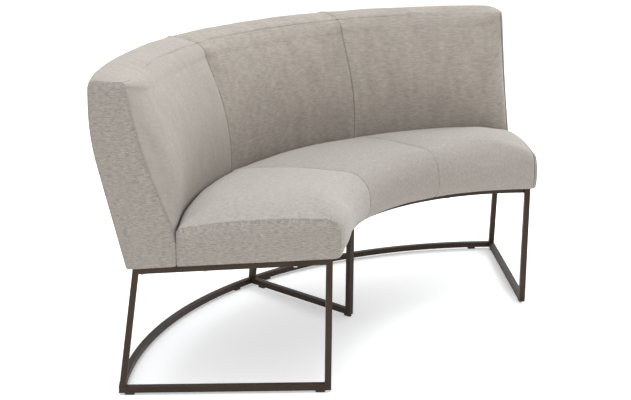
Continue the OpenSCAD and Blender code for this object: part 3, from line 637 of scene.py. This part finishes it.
def stuff(pieces):
    """Fills the pads by a short cloth simulation and keeps the shape that comes out."""
    starts, scene = {}, bpy.context.scene
    for piece in pieces:
        mesh = piece.data
        starts[piece.name] = read_points(mesh) - read_normals(mesh) * (slack(mesh) * START_IN)[:, None]
        write_points(mesh, starts[piece.name])
        group = piece.vertex_groups.new(name="pin")
        for index, weight in enumerate(fact(mesh, "pin")):
            if weight > 0:
                group.add([index], float(weight), "REPLACE")
        cloth = piece.modifiers.new("cloth", "CLOTH")
        for key, value in CLOTH.items():
            setattr(cloth.settings, key, value)
        cloth.settings.effector_weights.gravity = 0
        cloth.point_cache.frame_start = 1
        cloth.point_cache.frame_end = FRAMES
    for number in range(1, FRAMES + 1):
        scene.frame_set(number)
    depsgraph = bpy.context.evaluated_depsgraph_get()
    for piece in pieces:
        shaped = bpy.data.meshes.new_from_object(piece.evaluated_get(depsgraph))
        move = read_points(shaped) - starts[piece.name]
        far = np.linalg.norm(move, axis=1)
        move *= (np.minimum(far, MOST_MOVE) / np.maximum(far, 1e-9))[:, None]
        piece.modifiers.clear()
        piece.vertex_groups.clear()
        write_points(piece.data, starts[piece.name] + mix(move, smoothed(piece.data, move), IRONED))
        bpy.data.meshes.remove(shaped)
        print(piece.name, "moved by up to", round(float(far.max()) / MM, 1), "mm")
    scene.frame_set(1)


began = time.time()
stuff([piece for name, piece in pads.items() if name != "rear_cover_panel"])
print("stuffing took", round(time.time() - began, 1), "s")

# %% [markdown]
# ## Seams and creases
#
# A subdivision rounds the pads. Then the seams are sunk: the fabric turns in over a few millimetres on both
# sides, and small puckers run out from the stitches. Slow, uneven waves keep the large faces from looking
# moulded.

# %% Seam helpers
def subdivide(piece):
    modifier = piece.modifiers.new("rounding", "SUBSURF")
    modifier.levels = modifier.render_levels = 1
    modifier.uv_smooth = "PRESERVE_BOUNDARIES"
    bpy.ops.object.select_all(action="DESELECT")
    bpy.context.view_layer.objects.active = piece
    piece.select_set(True)
    bpy.ops.object.modifier_apply(modifier=modifier.name)
    piece.select_set(False)


def groove(distance, radius):
    """Depth at a distance from a seam where two edges of one radius meet."""
    d = np.clip(distance, 0, radius)
    return radius - np.sqrt(np.maximum(radius ** 2 - (radius - d) ** 2, 0))


def ripple(along, seed, length):
    """Uneven waves of about that length, between -1 and 1."""
    pick = np.random.default_rng(seed)
    total = np.zeros_like(along)
    for size in (1.0, 0.6, 0.4):
        wave = length * (0.7 + 0.6 * pick.random()) * (0.5 + size / 2)
        total += size * np.sin(2 * np.pi * along / wave + 6.3 * pick.random())
    return total / 2


def slow_waves(points, scale, seed):
    shift = Vector((seed * 3.1, seed * 1.7, seed * 2.3))
    return np.array([noise.noise(Vector(p) * scale + shift) for p in points])


# %% Depths in millimetres
SEAM_RADIUS = {"seat": 7.0, "back": 3.2, "rear": 2.0}
TOP_SEAM_RADIUS = {"back": 2.0, "rear": 1.5}
END_GROOVE = {"left": 2.2, "right": 0.6}            # 1.6 elsewhere
SEAT_SEAM_SHARE, FRONT_R, FADE = 0.28, 700, 150     # the seat's seams are flat, and flatter behind this radius
# Height and length of the folds, how far they reach, and how far the stitches stay clear.
PUCKER, TOP_PUCKER, END_PUCKER = (0.3, 17, 9, 4), (0.25, 15, 9, 3), (0.35, 13, 7, 3)
WAVES, END_WAVE = ((1.3, 9, 0), (0.4, 24, 9)), (0.7, 16)    # height, how many to the metre, shift of the seed
WAVE_SEED = {"seat": 1, "back": 2, "rear": 10}      # one pattern for all of a part, without steps


def puckers(along, seed, near, height, length, fade, clear):
    """Small folds across a seam. They fade away from it and leave the stitches clear."""
    return height * ripple(along, seed, length) * np.exp(-near / fade) * swell(near / clear)


def pad_depth(name, mesh, points, seed):
    part, place = name.split("_")[0], name.split("_")[-1]
    to_seam, to_end, to_strip, along = (fact(mesh, key) for key in ("to_seam", "to_end", "to_boxing", "along"))
    strength, share = boxing_strength(to_end), 1.0
    if part == "seat":
        from_centre = np.hypot(points[:, 0], points[:, 1] + CENTRE_Y * MM) / MM
        share = SEAT_SEAM_SHARE * mix(1, 0.3, np.clip((from_centre - FRONT_R) / FADE, 0, 1))
    elif part == "back":
        share = 1 - np.clip((along - boxing_at) / 4, 0, 1)     # the top strip runs over the seams
    depth = groove(to_seam, SEAM_RADIUS[part]) * share + groove(to_end, END_GROOVE.get(place, 1.6))
    if part in TOP_SEAM_RADIUS:
        sunk = groove(to_strip, TOP_SEAM_RADIUS[part])
        depth = np.maximum(depth, sunk * strength if part == "back" else sunk)
    near = np.minimum(np.where(share < 0.5, FAR, to_seam), to_end)
    folds = puckers(along, seed, near, *PUCKER)
    sideways = points[:, 0] * 1000 + points[:, 1] * 700
    folds += puckers(sideways, WAVE_SEED[part] + 50, to_strip, *TOP_PUCKER) * strength
    waves = sum(height * slow_waves(points, scale, WAVE_SEED[part] + more) for height, scale, more in WAVES)
    return depth - (folds + waves * swell(near / FREE_FROM)) * (0.4 if part == "rear" else 1.0)


def end_depth(mesh, points, seed):
    rim = fact(mesh, "to_rim")
    folds = puckers(fact(mesh, "along"), seed, rim, *END_PUCKER)
    height, scale = END_WAVE
    return -folds - height * slow_waves(points, scale, seed) * swell(rim / 30)


# %% Sink the seams into every pad
for seed, (name, piece) in enumerate(pads.items()):
    subdivide(piece)
    mesh = piece.data
    points, normals = read_points(mesh), read_normals(mesh)
    if "end" in name.split("_"):
        write_points(mesh, points - normals * (end_depth(mesh, points, seed) * MM)[:, None])
        continue
    turn = np.arctan2(points[:, 0], points[:, 1] + CENTRE_Y * MM)
    across = np.stack([np.cos(turn), -np.sin(turn), np.zeros_like(turn)], -1)
    flat = normals - across * (normals * across).sum(1)[:, None]
    flat /= np.maximum(np.linalg.norm(flat, axis=1), 1e-6)[:, None]
    depth = pad_depth(name, mesh, points, seed) * fact(mesh, "skin")
    write_points(mesh, points - flat * (depth * MM)[:, None])
print("pads:", sum(len(p.data.polygons) for p in pads.values()), "faces")

# %% [markdown]
# ## Stitches
#
# The sewing thread lies deep in each seam. One stitch is modelled from a primitive and copied along every
# seam, each copy turned with the seam. Stitches are few faces each, because there are many.

# %% One stitch
THREAD_R, STITCH_LONG = 0.5 * MM, 3.6 * MM
bpy.ops.object.select_all(action="DESELECT")
bpy.ops.mesh.primitive_cylinder_add(vertices=6, radius=THREAD_R, depth=STITCH_LONG, location=(0, 0, 0))
stitch = bpy.context.object
stitch.name = "stitch_pattern"
bpy.ops.object.mode_set(mode="EDIT")
bpy.ops.mesh.select_all(action="DESELECT")
bpy.context.tool_settings.mesh_select_mode = (False, False, True)
bpy.ops.object.mode_set(mode="OBJECT")
for face in stitch.data.polygons:
    face.select = abs(face.normal.z) > 0.9
bpy.ops.object.mode_set(mode="EDIT")
bpy.ops.mesh.inset(thickness=0.16 * MM, depth=0.35 * MM)
bpy.ops.mesh.inset(thickness=0.14 * MM, depth=0.15 * MM)
bpy.ops.object.mode_set(mode="OBJECT")
stitch_points = read_points(stitch.data)
stitch_faces = [tuple(f.vertices) for f in stitch.data.polygons]
bpy.data.objects.remove(stitch)
print("one stitch:", len(stitch_faces), "faces")


# %% Rows of stitches
PITCH, SINK, THREAD_SIDE = 5.6, 1.3, 12.45         # spacing, depth below the seam, place of the end seams


def stitch_row(path, inwards):
    """Stitches along a line of points in metres; inwards gives the direction into the pad at each point."""
    path, inwards = np.array(path), np.array(inwards)
    run = lengths(path)
    at = np.arange(PITCH * MM / 2, run[-1], PITCH * MM)
    def on(at, values):
        return np.stack([np.interp(at, run, values[:, c]) for c in range(3)], -1)
    points, faces = [], []
    for here, ahead, n in zip(on(at, path), on(at + MM, path), on(at, inwards)):
        along = ahead - here
        if np.linalg.norm(along) < 1e-9:
            continue
        along /= np.linalg.norm(along)
        n = n - along * (n @ along)
        n /= np.linalg.norm(n)
        across = np.cross(along, n)
        base = len(points)
        for p in stitch_points:
            points.append(here + n * (SINK * MM) + across * p[0] + n * p[1] + along * p[2])
        faces += [tuple(base + v for v in f) for f in stitch_faces]
    return points, faces


def section_normals(outline):
    """Directions into the pad, in r and z, at each point of an outline that runs from front to rear."""
    step = np.gradient(outline, axis=0)
    n = np.stack([step[:, 1], -step[:, 0]], -1)
    return n / np.maximum(np.linalg.norm(n, axis=1), 1e-9)[:, None]


def seam_path(bare, full, k, turn, side, first, last, lean=0.0):
    """The part from first to last of the section at that angle, with the directions into the pad."""
    line_points = mix(bare, full, k)
    n = section_normals(line_points)
    a = math.radians(turn)
    path = placed(line_points[:, 0], line_points[:, 1], turn, side, lean)
    inwards = np.stack([n[:, 0] * math.sin(a), n[:, 0] * math.cos(a), n[:, 1]], -1)
    return path[first:last], inwards[first:last]


# %% Threads in the seams
seat_lines, back_lines = (seat_bare, seat_full), (back_bare, back_full)
visible_seat = (3, len(seat_bare) - seat_counts[4] - 1)
visible_back = (back_counts[0] + 1, len(back_bare) - 1)
below_strip = (back_counts[0] + 1, boxing_index + 1)
DRAWN_IN = 0.85            # the fullness of the pads at the seams between the sections
rows = {}


def sew(thread, *seam):
    """Adds a row of stitches of that thread. The other values are those of seam_path."""
    rows.setdefault(thread, []).append(stitch_row(*seam_path(*seam)))


for side in (-1, 1):
    seam, end, out = side * SEAM_TURN, side * HALF_TURN, side * THREAD_SIDE
    sew("seat_seam_thread", *seat_lines, DRAWN_IN, seam, 0, *visible_seat)
    sew("back_seam_thread", *back_lines, DRAWN_IN, seam, 0, *below_strip, END_LEAN)
    sew("end_seam_thread", *seat_lines, 0.0, end, out, *visible_seat)
    sew("end_seam_thread", *back_lines, 0.0, end, out, *visible_back, END_LEAN)

# %% The top strip's seam, and the threads as pieces
strip_path, strip_in = [], []
for turn in np.linspace(-HALF_TURN, HALF_TURN, 241):
    to_end, to_seam = arc_gaps(back_full[boxing_index, 0], turn, 0)
    if boxing_strength(to_end) < 0.5:
        continue
    k = float(fullness(to_end, to_seam, back_edges[0][boxing_index], back_edges[1][boxing_index], SEAM_DIP))
    path, inwards = seam_path(*back_lines, k, turn, 0, boxing_index, boxing_index + 1, END_LEAN)
    strip_path.append(path[0])
    strip_in.append(inwards[0])
rows["boxing_thread"] = [stitch_row(strip_path, strip_in)]

threads = {}
for name, parts in rows.items():
    points, faces = [], []
    for part_points, part_faces in parts:
        base = len(points)
        points += part_points
        faces += [tuple(base + v for v in f) for f in part_faces]
    mesh = bpy.data.meshes.new(name)
    mesh.from_pydata([tuple(p) for p in points], [], faces)
    mesh.polygons.foreach_set("use_smooth", [True] * len(mesh.polygons))
    threads[name] = put(name, mesh)
    print(name, len(faces) // len(stitch_faces), "stitches")

# %% [markdown]
# ## Shader groups
#
# An effect that several materials share is built once as a group with named inputs and outputs. A group
# gives masks and heights only; the shader itself stays in each material.

# %% Node helpers
FLOAT, VECTOR = "NodeSocketFloat", "NodeSocketVector"


def feed(socket, value):
    """Links a socket to the output of another node, or sets it to a number, a place or a colour."""
    if isinstance(value, bpy.types.NodeSocket):
        socket.id_data.links.new(value, socket)
    elif value is not None:
        socket.default_value = (*value, 1) if socket.type == "RGBA" and len(value) == 3 else value


def add(tree, kind, feeds=None, **settings):
    """A node with its settings and feeds, laid out in rows of eight."""
    node = tree.nodes.new(kind if kind.startswith("Node") else "ShaderNode" + kind)
    row, column = divmod(len(tree.nodes), 8)
    node.location = (200 * column - 900, -260 * row)
    for key, value in settings.items():
        setattr(node, key, value)
    for key, value in (feeds or {}).items():
        feed(node.inputs[key], value)
    return node


def calc(kind, a, b=None, clamp=False):
    """A Math node. At least one of the two values is a socket."""
    tree = (a if isinstance(a, bpy.types.NodeSocket) else b).id_data
    return add(tree, "Math", {0: a, 1: b}, operation=kind, use_clamp=clamp).outputs[0]


def times(a, b, clamp=False):
    return calc("MULTIPLY", a, b, clamp)


def plus(a, b):
    return calc("ADD", a, b)


def minus(a, b, clamp=False):
    return calc("SUBTRACT", a, b, clamp)


def ramp(value, low, high, to_low=0.0, to_high=1.0):
    """Moves the range from low to high onto another one, and cuts off what lies outside."""
    return add(value.id_data, "MapRange", {"Value": value, "From Min": low, "From Max": high, "To Min": to_low,
                                           "To Max": to_high}, clamp=True).outputs[0]


def blend(share, a, b):
    """Mixes two colours, each a socket or three numbers."""
    return add(share.id_data, "Mix", {0: share, 6: a, 7: b}, data_type="RGBA").outputs[2]


# %% Places and patterns
def object_place(tree):
    return add(tree, "TexCoord").outputs["Object"]


def axis(place, letter):
    return add(place.id_data, "SeparateXYZ", {0: place}).outputs[letter]


def stretch(place, by, shift=(0, 0, 0), turn=0.0):
    return add(place.id_data, "Mapping", {"Vector": place, "Scale": by, "Location": shift,
                                          "Rotation": (0, 0, turn)}).outputs[0]


def noise_on(place, scale, detail=2.0, rough=0.5, shift=(0, 0, 0)):
    """Noise. Three numbers for the scale make it finer or coarser along x, y and z."""
    if isinstance(scale, tuple):
        place, scale = stretch(place, scale, shift), 1.0
    return add(place.id_data, "TexNoise", {"Vector": place, "Scale": scale, "Detail": detail,
                                           "Roughness": rough}).outputs["Fac"]


def cells(place, scale, scatter=1.0):
    """Distance to the nearest of many scattered points."""
    return add(place.id_data, "TexVoronoi", {"Vector": place, "Scale": scale,
                                             "Randomness": scatter}).outputs["Distance"]


def sine(place, letter, length):
    """Waves of that length in metres along an axis."""
    return calc("SINE", times(axis(place, letter), 2 * math.pi / length))


# %% Groups
def group(name, **inputs):
    """A new group with its inputs: a number is the first value of one, and None asks for a vector."""
    tree = bpy.data.node_groups.new(name, "ShaderNodeTree")
    for title, value in inputs.items():
        kind = VECTOR if value is None else FLOAT
        socket = tree.interface.new_socket(title.replace("_", " "), in_out="INPUT", socket_type=kind)
        if value is not None:
            socket.default_value = value
    return tree, add(tree, "NodeGroupInput").outputs


def give_out(tree, **sockets):
    """Makes and links the outputs of a group."""
    for title, socket in sockets.items():
        kind = VECTOR if socket.type == "VECTOR" else FLOAT
        tree.interface.new_socket(title.replace("_", " "), in_out="OUTPUT", socket_type=kind)
    out = add(tree, "NodeGroupOutput")
    for title, socket in sockets.items():
        feed(out.inputs[title.replace("_", " ")], socket)
    print("group:", tree.name)


# %% [markdown]
# ### Chenille
#
# Chenille is woven from tufted yarns that lie side by side. Up close each yarn is a soft rib; from a metre
# away the eye sees short light and dark slubs along the yarns and cloudy patches where the pile leans.

# %% Chenille group
tree, given = group("chenille yarns", Place=None, Yarns_per_Metre=420.0)
place = given["Place"]
slubs = plus(times(noise_on(place, (65, 400, 1)), 0.6),
             times(noise_on(place, (120, 600, 1), 1.0, shift=(3, 7, 0)), 0.4))
mottle = noise_on(place, (85, 120, 1), 2.0, 0.55, (4, 9, 0))
streaks = noise_on(place, (48, 13, 1), 3.0, shift=(1, 2, 0))
flecks = noise_on(place, (260, 300, 1), 1.0, shift=(11, 5, 0))
wobble = noise_on(place, (40, 40, 1), shift=(5, 9, 0))
yarn = plus(times(axis(place, "Y"), given["Yarns per Metre"]), times(wobble, 1.2))
ribs = calc("ABSOLUTE", calc("SINE", times(yarn, math.pi)))
tufts = noise_on(place, (900, 1400, 1))
height = plus(plus(times(ribs, 0.3), times(slubs, 0.6)), times(tufts, 0.4))
give_out(tree, Dashes=ramp(slubs, 0.4, 0.6), Mottle=ramp(mottle, 0.36, 0.64), Streaks=ramp(streaks, 0.36, 0.64),
         Flecks=ramp(flecks, 0.68, 0.76), Height=height)

# %% [markdown]
# ### Stitch dimples
#
# Where a panel is sewn on by hand-guided machine, each stitch pulls the fabric into a small hollow next to the
# seam, and the shade in these dimples is painted darker into the colour of the fabric. The group reads how far
# a spot is from the seam and how far along it, both in millimetres.

# %% Dimple group
tree, given = group("stitch dimples", Distance=0.0, Along=0.0, Pitch=11.0, From_Seam=2.0, Size=2.4)
wander = noise_on(given["Along"], (0.05, 0.05, 0.05))
along = plus(given["Along"], times(wander, 30.0))
along = calc("PINGPONG", along, times(given["Pitch"], 0.5))
off = minus(given["Distance"], given["From Seam"])
reach = calc("SQRT", plus(times(along, along), times(off, off)))
give_out(tree, Dimple=minus(1.0, calc("DIVIDE", reach, given["Size"]), clamp=True))

# %% [markdown]
# ### Worn edges
#
# Edges of painted metal and of timber are a little rounder and lighter than their faces. The group compares
# the surface direction with a rounded one, which differs only near an edge, and breaks the mask up with noise.

# %% Edge group
tree, given = group("worn edges", Radius=0.0015, Amount=1.0)
rounded = add(tree, "Bevel", {"Radius": given["Radius"]}, samples=6).outputs[0]
normal = add(tree, "NewGeometry").outputs["Normal"]
alike = add(tree, "VectorMath", {0: rounded, 1: normal}, operation="DOT_PRODUCT").outputs["Value"]
patchy = ramp(noise_on(object_place(tree), 42.0, 5.0, 0.65), 0.42, 0.62)
edge = times(times(ramp(alike, 0.995, 0.8), patchy), given["Amount"], clamp=True)
give_out(tree, Edge=edge, Normal=rounded)

# %% [markdown]
# ### Dust and handling
#
# Dust gathers low down and on faces that look up, and hands leave slightly smoother patches.

# %% Dust group
tree, given = group("dust and handling", Reach=0.12)
place = object_place(tree)
low = minus(1.0, calc("DIVIDE", axis(place, "Z"), given["Reach"]), clamp=True)
upward = ramp(axis(add(tree, "NewGeometry").outputs["Normal"], "Z"), 0.3, 1.0)
speckle = ramp(noise_on(place, 160.0, 4.0, 0.7), 0.35, 0.75)
dust = times(plus(times(low, 0.5), times(upward, 0.5)), speckle)
give_out(tree, Dust=dust, Smooth_Patches=ramp(noise_on(place, 7.0, 3.0), 0.4, 0.65))

# %% [markdown]
# ## Materials
#
# Each material starts from real colours, measured against the photograph, and adds what the surface shows at
# its own scale.

# %% Material helpers
def material(name, **shader):
    """The node tree and the Principled shader of a new material."""
    made = bpy.data.materials.new(name)
    made.use_nodes = True
    bsdf = made.node_tree.nodes["Principled BSDF"]
    for key, value in shader.items():
        feed(bsdf.inputs[key.replace("_", " ")], value)
    return made.node_tree, bsdf


def effect(tree, name, **values):
    """The outputs of a group, placed in a material with its own values."""
    feeds = {key.replace("_", " "): value for key, value in values.items()}
    return add(tree, "Group", feeds, node_tree=bpy.data.node_groups[name]).outputs


def surface(bsdf, colour, rough, height, strength, distance, edges=None, worn=None):
    """Links colour, roughness and bump. edges holds the outputs of worn edges, and worn is their colour."""
    if worn:
        colour = blend(edges["Edge"], colour, worn)
    feeds = {"Strength": strength, "Distance": distance, "Height": height, "Normal": edges and edges["Normal"]}
    lifted = add(bsdf.id_data, "Bump", feeds).outputs[0]
    for title, value in (("Base Color", colour), ("Roughness", rough), ("Normal", lifted)):
        feed(bsdf.inputs[title], value)


def from_photo(r, g, b):
    """A colour given as 0 to 255 on screen, as the shader wants it."""
    shares = [value / 255 for value in (r, g, b)]
    return tuple(c / 12.92 if c <= 0.04045 else ((c + 0.055) / 1.055) ** 2.4 for c in shares)


# %% Fabric
YARN_DARK, YARN_LIGHT = from_photo(118, 112, 106), from_photo(182, 174, 165)
# The last colour is painted shade, laid into the fabric in the stitch dimples.
FLECK, DIMPLE_SHADE = from_photo(214, 207, 198), from_photo(96, 90, 84)


def chenille(name, tone, dashes, mottle, streaks, flecks=0.5, turned=False, sewn=False, finer=1.0):
    """tone shifts the whole piece in red, green and blue. This is painted light and shade: each piece's copy of
    the fabric is made lighter or darker to match the light that falls on it and the sheen of the way its pile
    leans. The next four say how strongly each pattern of the yarns shows, turned lays the yarns from front to
    rear, and sewn adds dimples beside the edge, with painted shade darkening them. A finer value below 1 makes
    the yarns coarser."""
    tree, bsdf = material("greige_chenille_" + name, Sheen_Weight=0.12, Sheen_Roughness=0.5,
                          Sheen_Tint=(1.0, 0.98, 0.95), Specular_IOR_Level=0.15)
    flat = add(tree, "UVMap", uv_map="UVMap").outputs[0]
    place = stretch(flat, (finer, finer, 1), turn=math.pi / 2 if turned else 0.0)
    yarns = effect(tree, "chenille yarns", Place=place)
    dark, light, fleck, dimple_shade = (tuple(c * t for c, t in zip(colour, tone))
                                  for colour in (YARN_DARK, YARN_LIGHT, FLECK, DIMPLE_SHADE))
    shade = 0.5 - (dashes + mottle + streaks) / 2
    for title, amount in (("Dashes", dashes), ("Mottle", mottle), ("Streaks", streaks)):
        shade = plus(times(yarns[title], amount), shade)
    colour = blend(shade, dark, light)
    colour = blend(times(yarns["Flecks"], flecks), colour, fleck)
    height = yarns["Height"]
    if sewn:
        distance, along = (add(tree, "Attribute", attribute_name=key).outputs["Fac"]
                           for key in ("to_rim", "along"))
        mark = effect(tree, "stitch dimples", Distance=distance, Along=along)["Dimple"]
        # Painted shade: the fabric is darkened in the stitch dimples, on top of their sunk bump.
        colour = blend(times(mark, 0.4), colour, dimple_shade)
        height = minus(height, times(mark, 0.6))
    surface(bsdf, colour, ramp(yarns["Mottle"], 0.0, 1.0, 0.94, 0.82), height, 0.3, 0.0008)
    return bpy.data.materials["greige_chenille_" + name]


# Painted light and shade: each piece gets its own copy of the chenille, made lighter or darker by its tone to
# copy the light that falls on it and the sheen of its pile.
fabric = {"seat": chenille("seat", (0.99, 1.0, 1.01), 0.07, 0.16, 0.05, turned=True),
          "far_seat": chenille("far_seat", (0.885, 0.88, 0.885), 0.07, 0.16, 0.05, turned=True),
          "left_back": chenille("left_back", (0.93, 0.92, 0.92), 0.05, 0.07, 0.08, 0.3),
          "back": chenille("back", (0.87, 0.845, 0.825), 0.22, 0.12, 0.12, 0.25, finer=0.65),
          "end": chenille("ends", (0.82, 0.82, 0.82), 0.36, 0.14, 0.05, 0.6, sewn=True),
          "rear": chenille("rear", (0.9, 0.89, 0.88), 0.18, 0.14, 0.1)}
print("fabrics:", sorted(fabric))


# %% Thread
def sewing_thread(name, dark, light):
    tree, bsdf = material(name, Sheen_Weight=0.15, Specular_IOR_Level=0.3)
    twist = noise_on(object_place(tree), 1800.0)
    colour = blend(ramp(twist, 0.35, 0.65), from_photo(*dark), from_photo(*light))
    surface(bsdf, colour, ramp(twist, 0.3, 0.7, 0.6, 0.75), twist, 0.4, 0.0002)
    return bpy.data.materials[name]


thread_material = sewing_thread("greige_thread", (136, 129, 121), (170, 163, 154))
dark_thread = sewing_thread("dark_greige_thread", (84, 78, 72), (116, 110, 103))
print("threads:", thread_material.name, dark_thread.name)

# %% [markdown]
# ### Powder coat, plastic and plated steel
#
# Powder coat flows out in the oven to a fine orange peel. It is a satin bronze brown here, a shade lighter
# on its edges. Glides are plain black moulded plastic, and the screws are zinc plated.

# %% Powder coat
tree, bsdf = material("bronze_powder_coat_finish", Metallic=0.2, Specular_IOR_Level=0.25)
place = object_place(tree)
peel, drift = noise_on(place, 900.0), noise_on(place, 11.0, 3.0)
edges = effect(tree, "worn edges", Radius=0.0014, Amount=0.5)
dusty = effect(tree, "dust and handling", Reach=0.1)
colour = blend(ramp(drift, 0.3, 0.7), from_photo(46, 33, 23), from_photo(56, 42, 31))
colour = blend(edges["Edge"], colour, from_photo(104, 90, 78))
colour = blend(times(dusty["Dust"], 0.05), colour, from_photo(168, 160, 150))
rough = plus(ramp(peel, 0.3, 0.7, 0.4, 0.5), times(dusty["Dust"], 0.2))
rough = minus(rough, times(dusty["Smooth Patches"], 0.06))
surface(bsdf, colour, rough, peel, 0.12, 0.0002, edges)

# %% Moulded plastic
tree, bsdf = material("black_plastic_finish", Specular_IOR_Level=0.45)
grain = noise_on(object_place(tree), 1500.0, 3.0)
dusty = effect(tree, "dust and handling", Reach=0.02)
edges = effect(tree, "worn edges", Radius=0.0006, Amount=0.7)
colour = blend(dusty["Dust"], from_photo(30, 30, 31), from_photo(74, 71, 68))
surface(bsdf, colour, ramp(grain, 0.3, 0.7, 0.48, 0.62), grain, 0.25, 0.0001, edges, from_photo(92, 90, 88))

# %% Zinc plate
tree, bsdf = material("zinc_steel_finish", Metallic=1.0)
place = object_place(tree)
spangle, turning = cells(place, 700.0), noise_on(place, (500, 500, 3000))
edges = effect(tree, "worn edges", Radius=0.0004, Amount=0.6)
colour = blend(ramp(spangle, 0.1, 0.8), from_photo(176, 178, 178), from_photo(205, 205, 200))
surface(bsdf, colour, ramp(turning, 0.3, 0.7, 0.26, 0.42), turning, 0.2, 0.0001, edges,
        from_photo(225, 224, 220))
print("hard materials: bronze powder coat, black plastic, zinc")

# %% [markdown]
# ### Plywood, foam, webbing and dust cloth
#
# These are inside the bench or under it, so they show only from below or through gaps. Plywood has long
# grain and thin ply lines, foam has open pores, webbing has a flat weave and dust cloth is pressed fibre.

# %% Plywood
PLY = 0.003                # two plies, in metres
tree, bsdf = material("birch_plywood_finish", Specular_IOR_Level=0.35)
place = object_place(tree)
grain = noise_on(place, (22, 22, 260), 6.0, 0.65)
plies = calc("ABSOLUTE", sine(place, "X", PLY))
edges = effect(tree, "worn edges", Radius=0.001, Amount=0.5)
colour = blend(ramp(grain, 0.35, 0.7), from_photo(222, 196, 156), from_photo(190, 156, 112))
colour = blend(times(ramp(plies, 0.2, 0.0), 0.25), colour, from_photo(150, 116, 78))
surface(bsdf, colour, ramp(grain, 0.3, 0.7, 0.55, 0.72), grain, 0.25, 0.0003, edges, from_photo(236, 216, 182))

# %% Foam
tree, bsdf = material("upholstery_foam_finish", Specular_IOR_Level=0.1, Subsurface_Weight=0.1)
pores = cells(object_place(tree), 650.0)
colour = blend(ramp(pores, 0.15, 0.6), from_photo(214, 200, 150), from_photo(244, 234, 196))
surface(bsdf, colour, ramp(pores, 0.1, 0.7, 0.98, 0.85), pores, 0.6, 0.0006)

# %% Webbing
tree, bsdf = material("elastic_webbing_finish", Specular_IOR_Level=0.25)
place = object_place(tree)
weave = times(sine(place, "X", 0.003), sine(place, "Y", 0.002))
colour = blend(ramp(weave, -0.6, 0.6), from_photo(46, 46, 48), from_photo(84, 83, 84))
surface(bsdf, colour, ramp(weave, -1.0, 1.0, 0.85, 0.7), weave, 0.5, 0.0004)

# %% Dust cloth
tree, bsdf = material("dust_cloth_finish", Specular_IOR_Level=0.15, Sheen_Weight=0.1)
place = object_place(tree)
fibres, dots = noise_on(place, (260, 900, 260), 5.0, 0.7), cells(place, 420.0, 0.15)
colour = blend(ramp(fibres, 0.3, 0.7), from_photo(34, 34, 36), from_photo(58, 57, 58))
colour = blend(times(ramp(dots, 0.25, 0.1), 0.4), colour, from_photo(22, 22, 24))
surface(bsdf, colour, ramp(fibres, 0.3, 0.7, 0.95, 0.8), fibres, 0.4, 0.0003)
print("inner materials: plywood, foam, webbing, dust cloth")

# %% [markdown]
# ## Dressing the CAD nodes
#
# The rigid nodes keep their CAD meshes. Only the material in their slots changes, by the slot's name in the
# record. Soft nodes are replaced by the pads made above.

# %% Materials on the CAD nodes
for part in frame["record"]["subparts"]:
    piece = frame["nodes"][part["node"]]
    piece.data.materials.clear()
    finish = bpy.data.materials.get(part["material_slot"] + "_finish", fabric["back"])
    piece.data.materials.append(finish)

# %% Pads stand for the soft nodes
for part in ("seat", "back"):
    for place in ("left", "middle", "right"):
        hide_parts(f"{part}_cover_{place}", f"{part}_foam_{place}")
    for place in ("left", "right"):
        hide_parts(f"{part}_end_panel_{place}")
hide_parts("rear_cover")
# Painted light and shade: each pad takes the lighter or darker copy of the fabric that matches the light on it.
painted_light_copy = {"seat_cushion_left": "seat", "seat_cushion_middle": "far_seat", "seat_cushion_right": "far_seat",
       "back_cushion_left": "left_back", "back_cushion_middle": "back", "back_cushion_right": "back",
       "rear_cover_panel": "rear"}
for name, piece in pads.items():
    piece.data.materials.append(fabric[painted_light_copy.get(name, "end")])
    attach(piece, "root")
for name, piece in threads.items():
    piece.data.materials.append(dark_thread if name == "end_seam_thread" else thread_material)
    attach(piece, "root")
print("pads:", len(pads), "threads:", len(threads))

# %% [markdown]
# ## Floor and light
#
# A product photograph has a plain pale floor and large soft lights. The main light stands at the right, high
# up, so the left half of the back, which faces it, is the lightest.

# %% Studio
bpy.ops.object.select_all(action="DESELECT")
bpy.ops.mesh.primitive_plane_add(size=60, location=(0, 0, -0.0005))
floor = bpy.context.object
floor.name = "studio_floor"
FLOOR_GLOW = 0.2, 0.32     # for the bench and for the camera
tree, bsdf = material("studio_floor_paint", Roughness=0.85, Specular_IOR_Level=0.1)
tone = noise_on(object_place(tree), 0.6)
feed(bsdf.inputs["Base Color"], blend(tone, (0.93, 0.93, 0.93), (0.96, 0.96, 0.96)))
seen = add(tree, "LightPath").outputs["Is Camera Ray"]
feed(bsdf.inputs["Emission Strength"], ramp(seen, 0.0, 1.0, *FLOOR_GLOW))
floor.data.materials.append(bpy.data.materials["studio_floor_paint"])
floor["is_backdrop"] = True
print("floor:", floor.name)

# %% Lights and sky
SKY_LIGHT = 0.8            # the sky lights the bench a little less than it shows behind it


def soft_light(name, place, target, size, watts, colour):
    data = bpy.data.lights.new(name, "AREA")
    data.shape, data.size, data.energy, data.color = "DISK", size, watts, colour
    lamp = put(name, data)
    lamp.location = place
    lamp.rotation_euler = (Vector(target) - Vector(place)).to_track_quat("-Z", "Y").to_euler()
    print(name, watts, "W")


soft_light("main_light", (4.6, 0.3, 2.3), (0, 0, 0.5), 2.4, 150, (0.98, 0.99, 1.0))
soft_light("left_fill", (-3.9, -2.7, 1.9), (0, 0, 0.4), 2.4, 34, (1.0, 1.0, 1.0))
soft_light("top_light", (-0.6, 0.0, 4.0), (0, 0, 0.4), 3.0, 116, (0.88, 0.95, 1.0))
world = bpy.data.worlds.new("studio")
world.use_nodes = True
sky = world.node_tree.nodes["Background"].inputs
feed(sky["Color"], (1, 1, 1, 1))
seen = add(world.node_tree, "LightPath").outputs["Is Camera Ray"]
feed(sky["Strength"], ramp(seen, 0.0, 1.0, SKY_LIGHT, 1.0))
bpy.context.scene.world = world
bpy.context.scene.view_settings.view_transform = "Standard"

# %% Size and finish
low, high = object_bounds()
print("size with the soft goods:", [round(v, 4) for v in high - low])
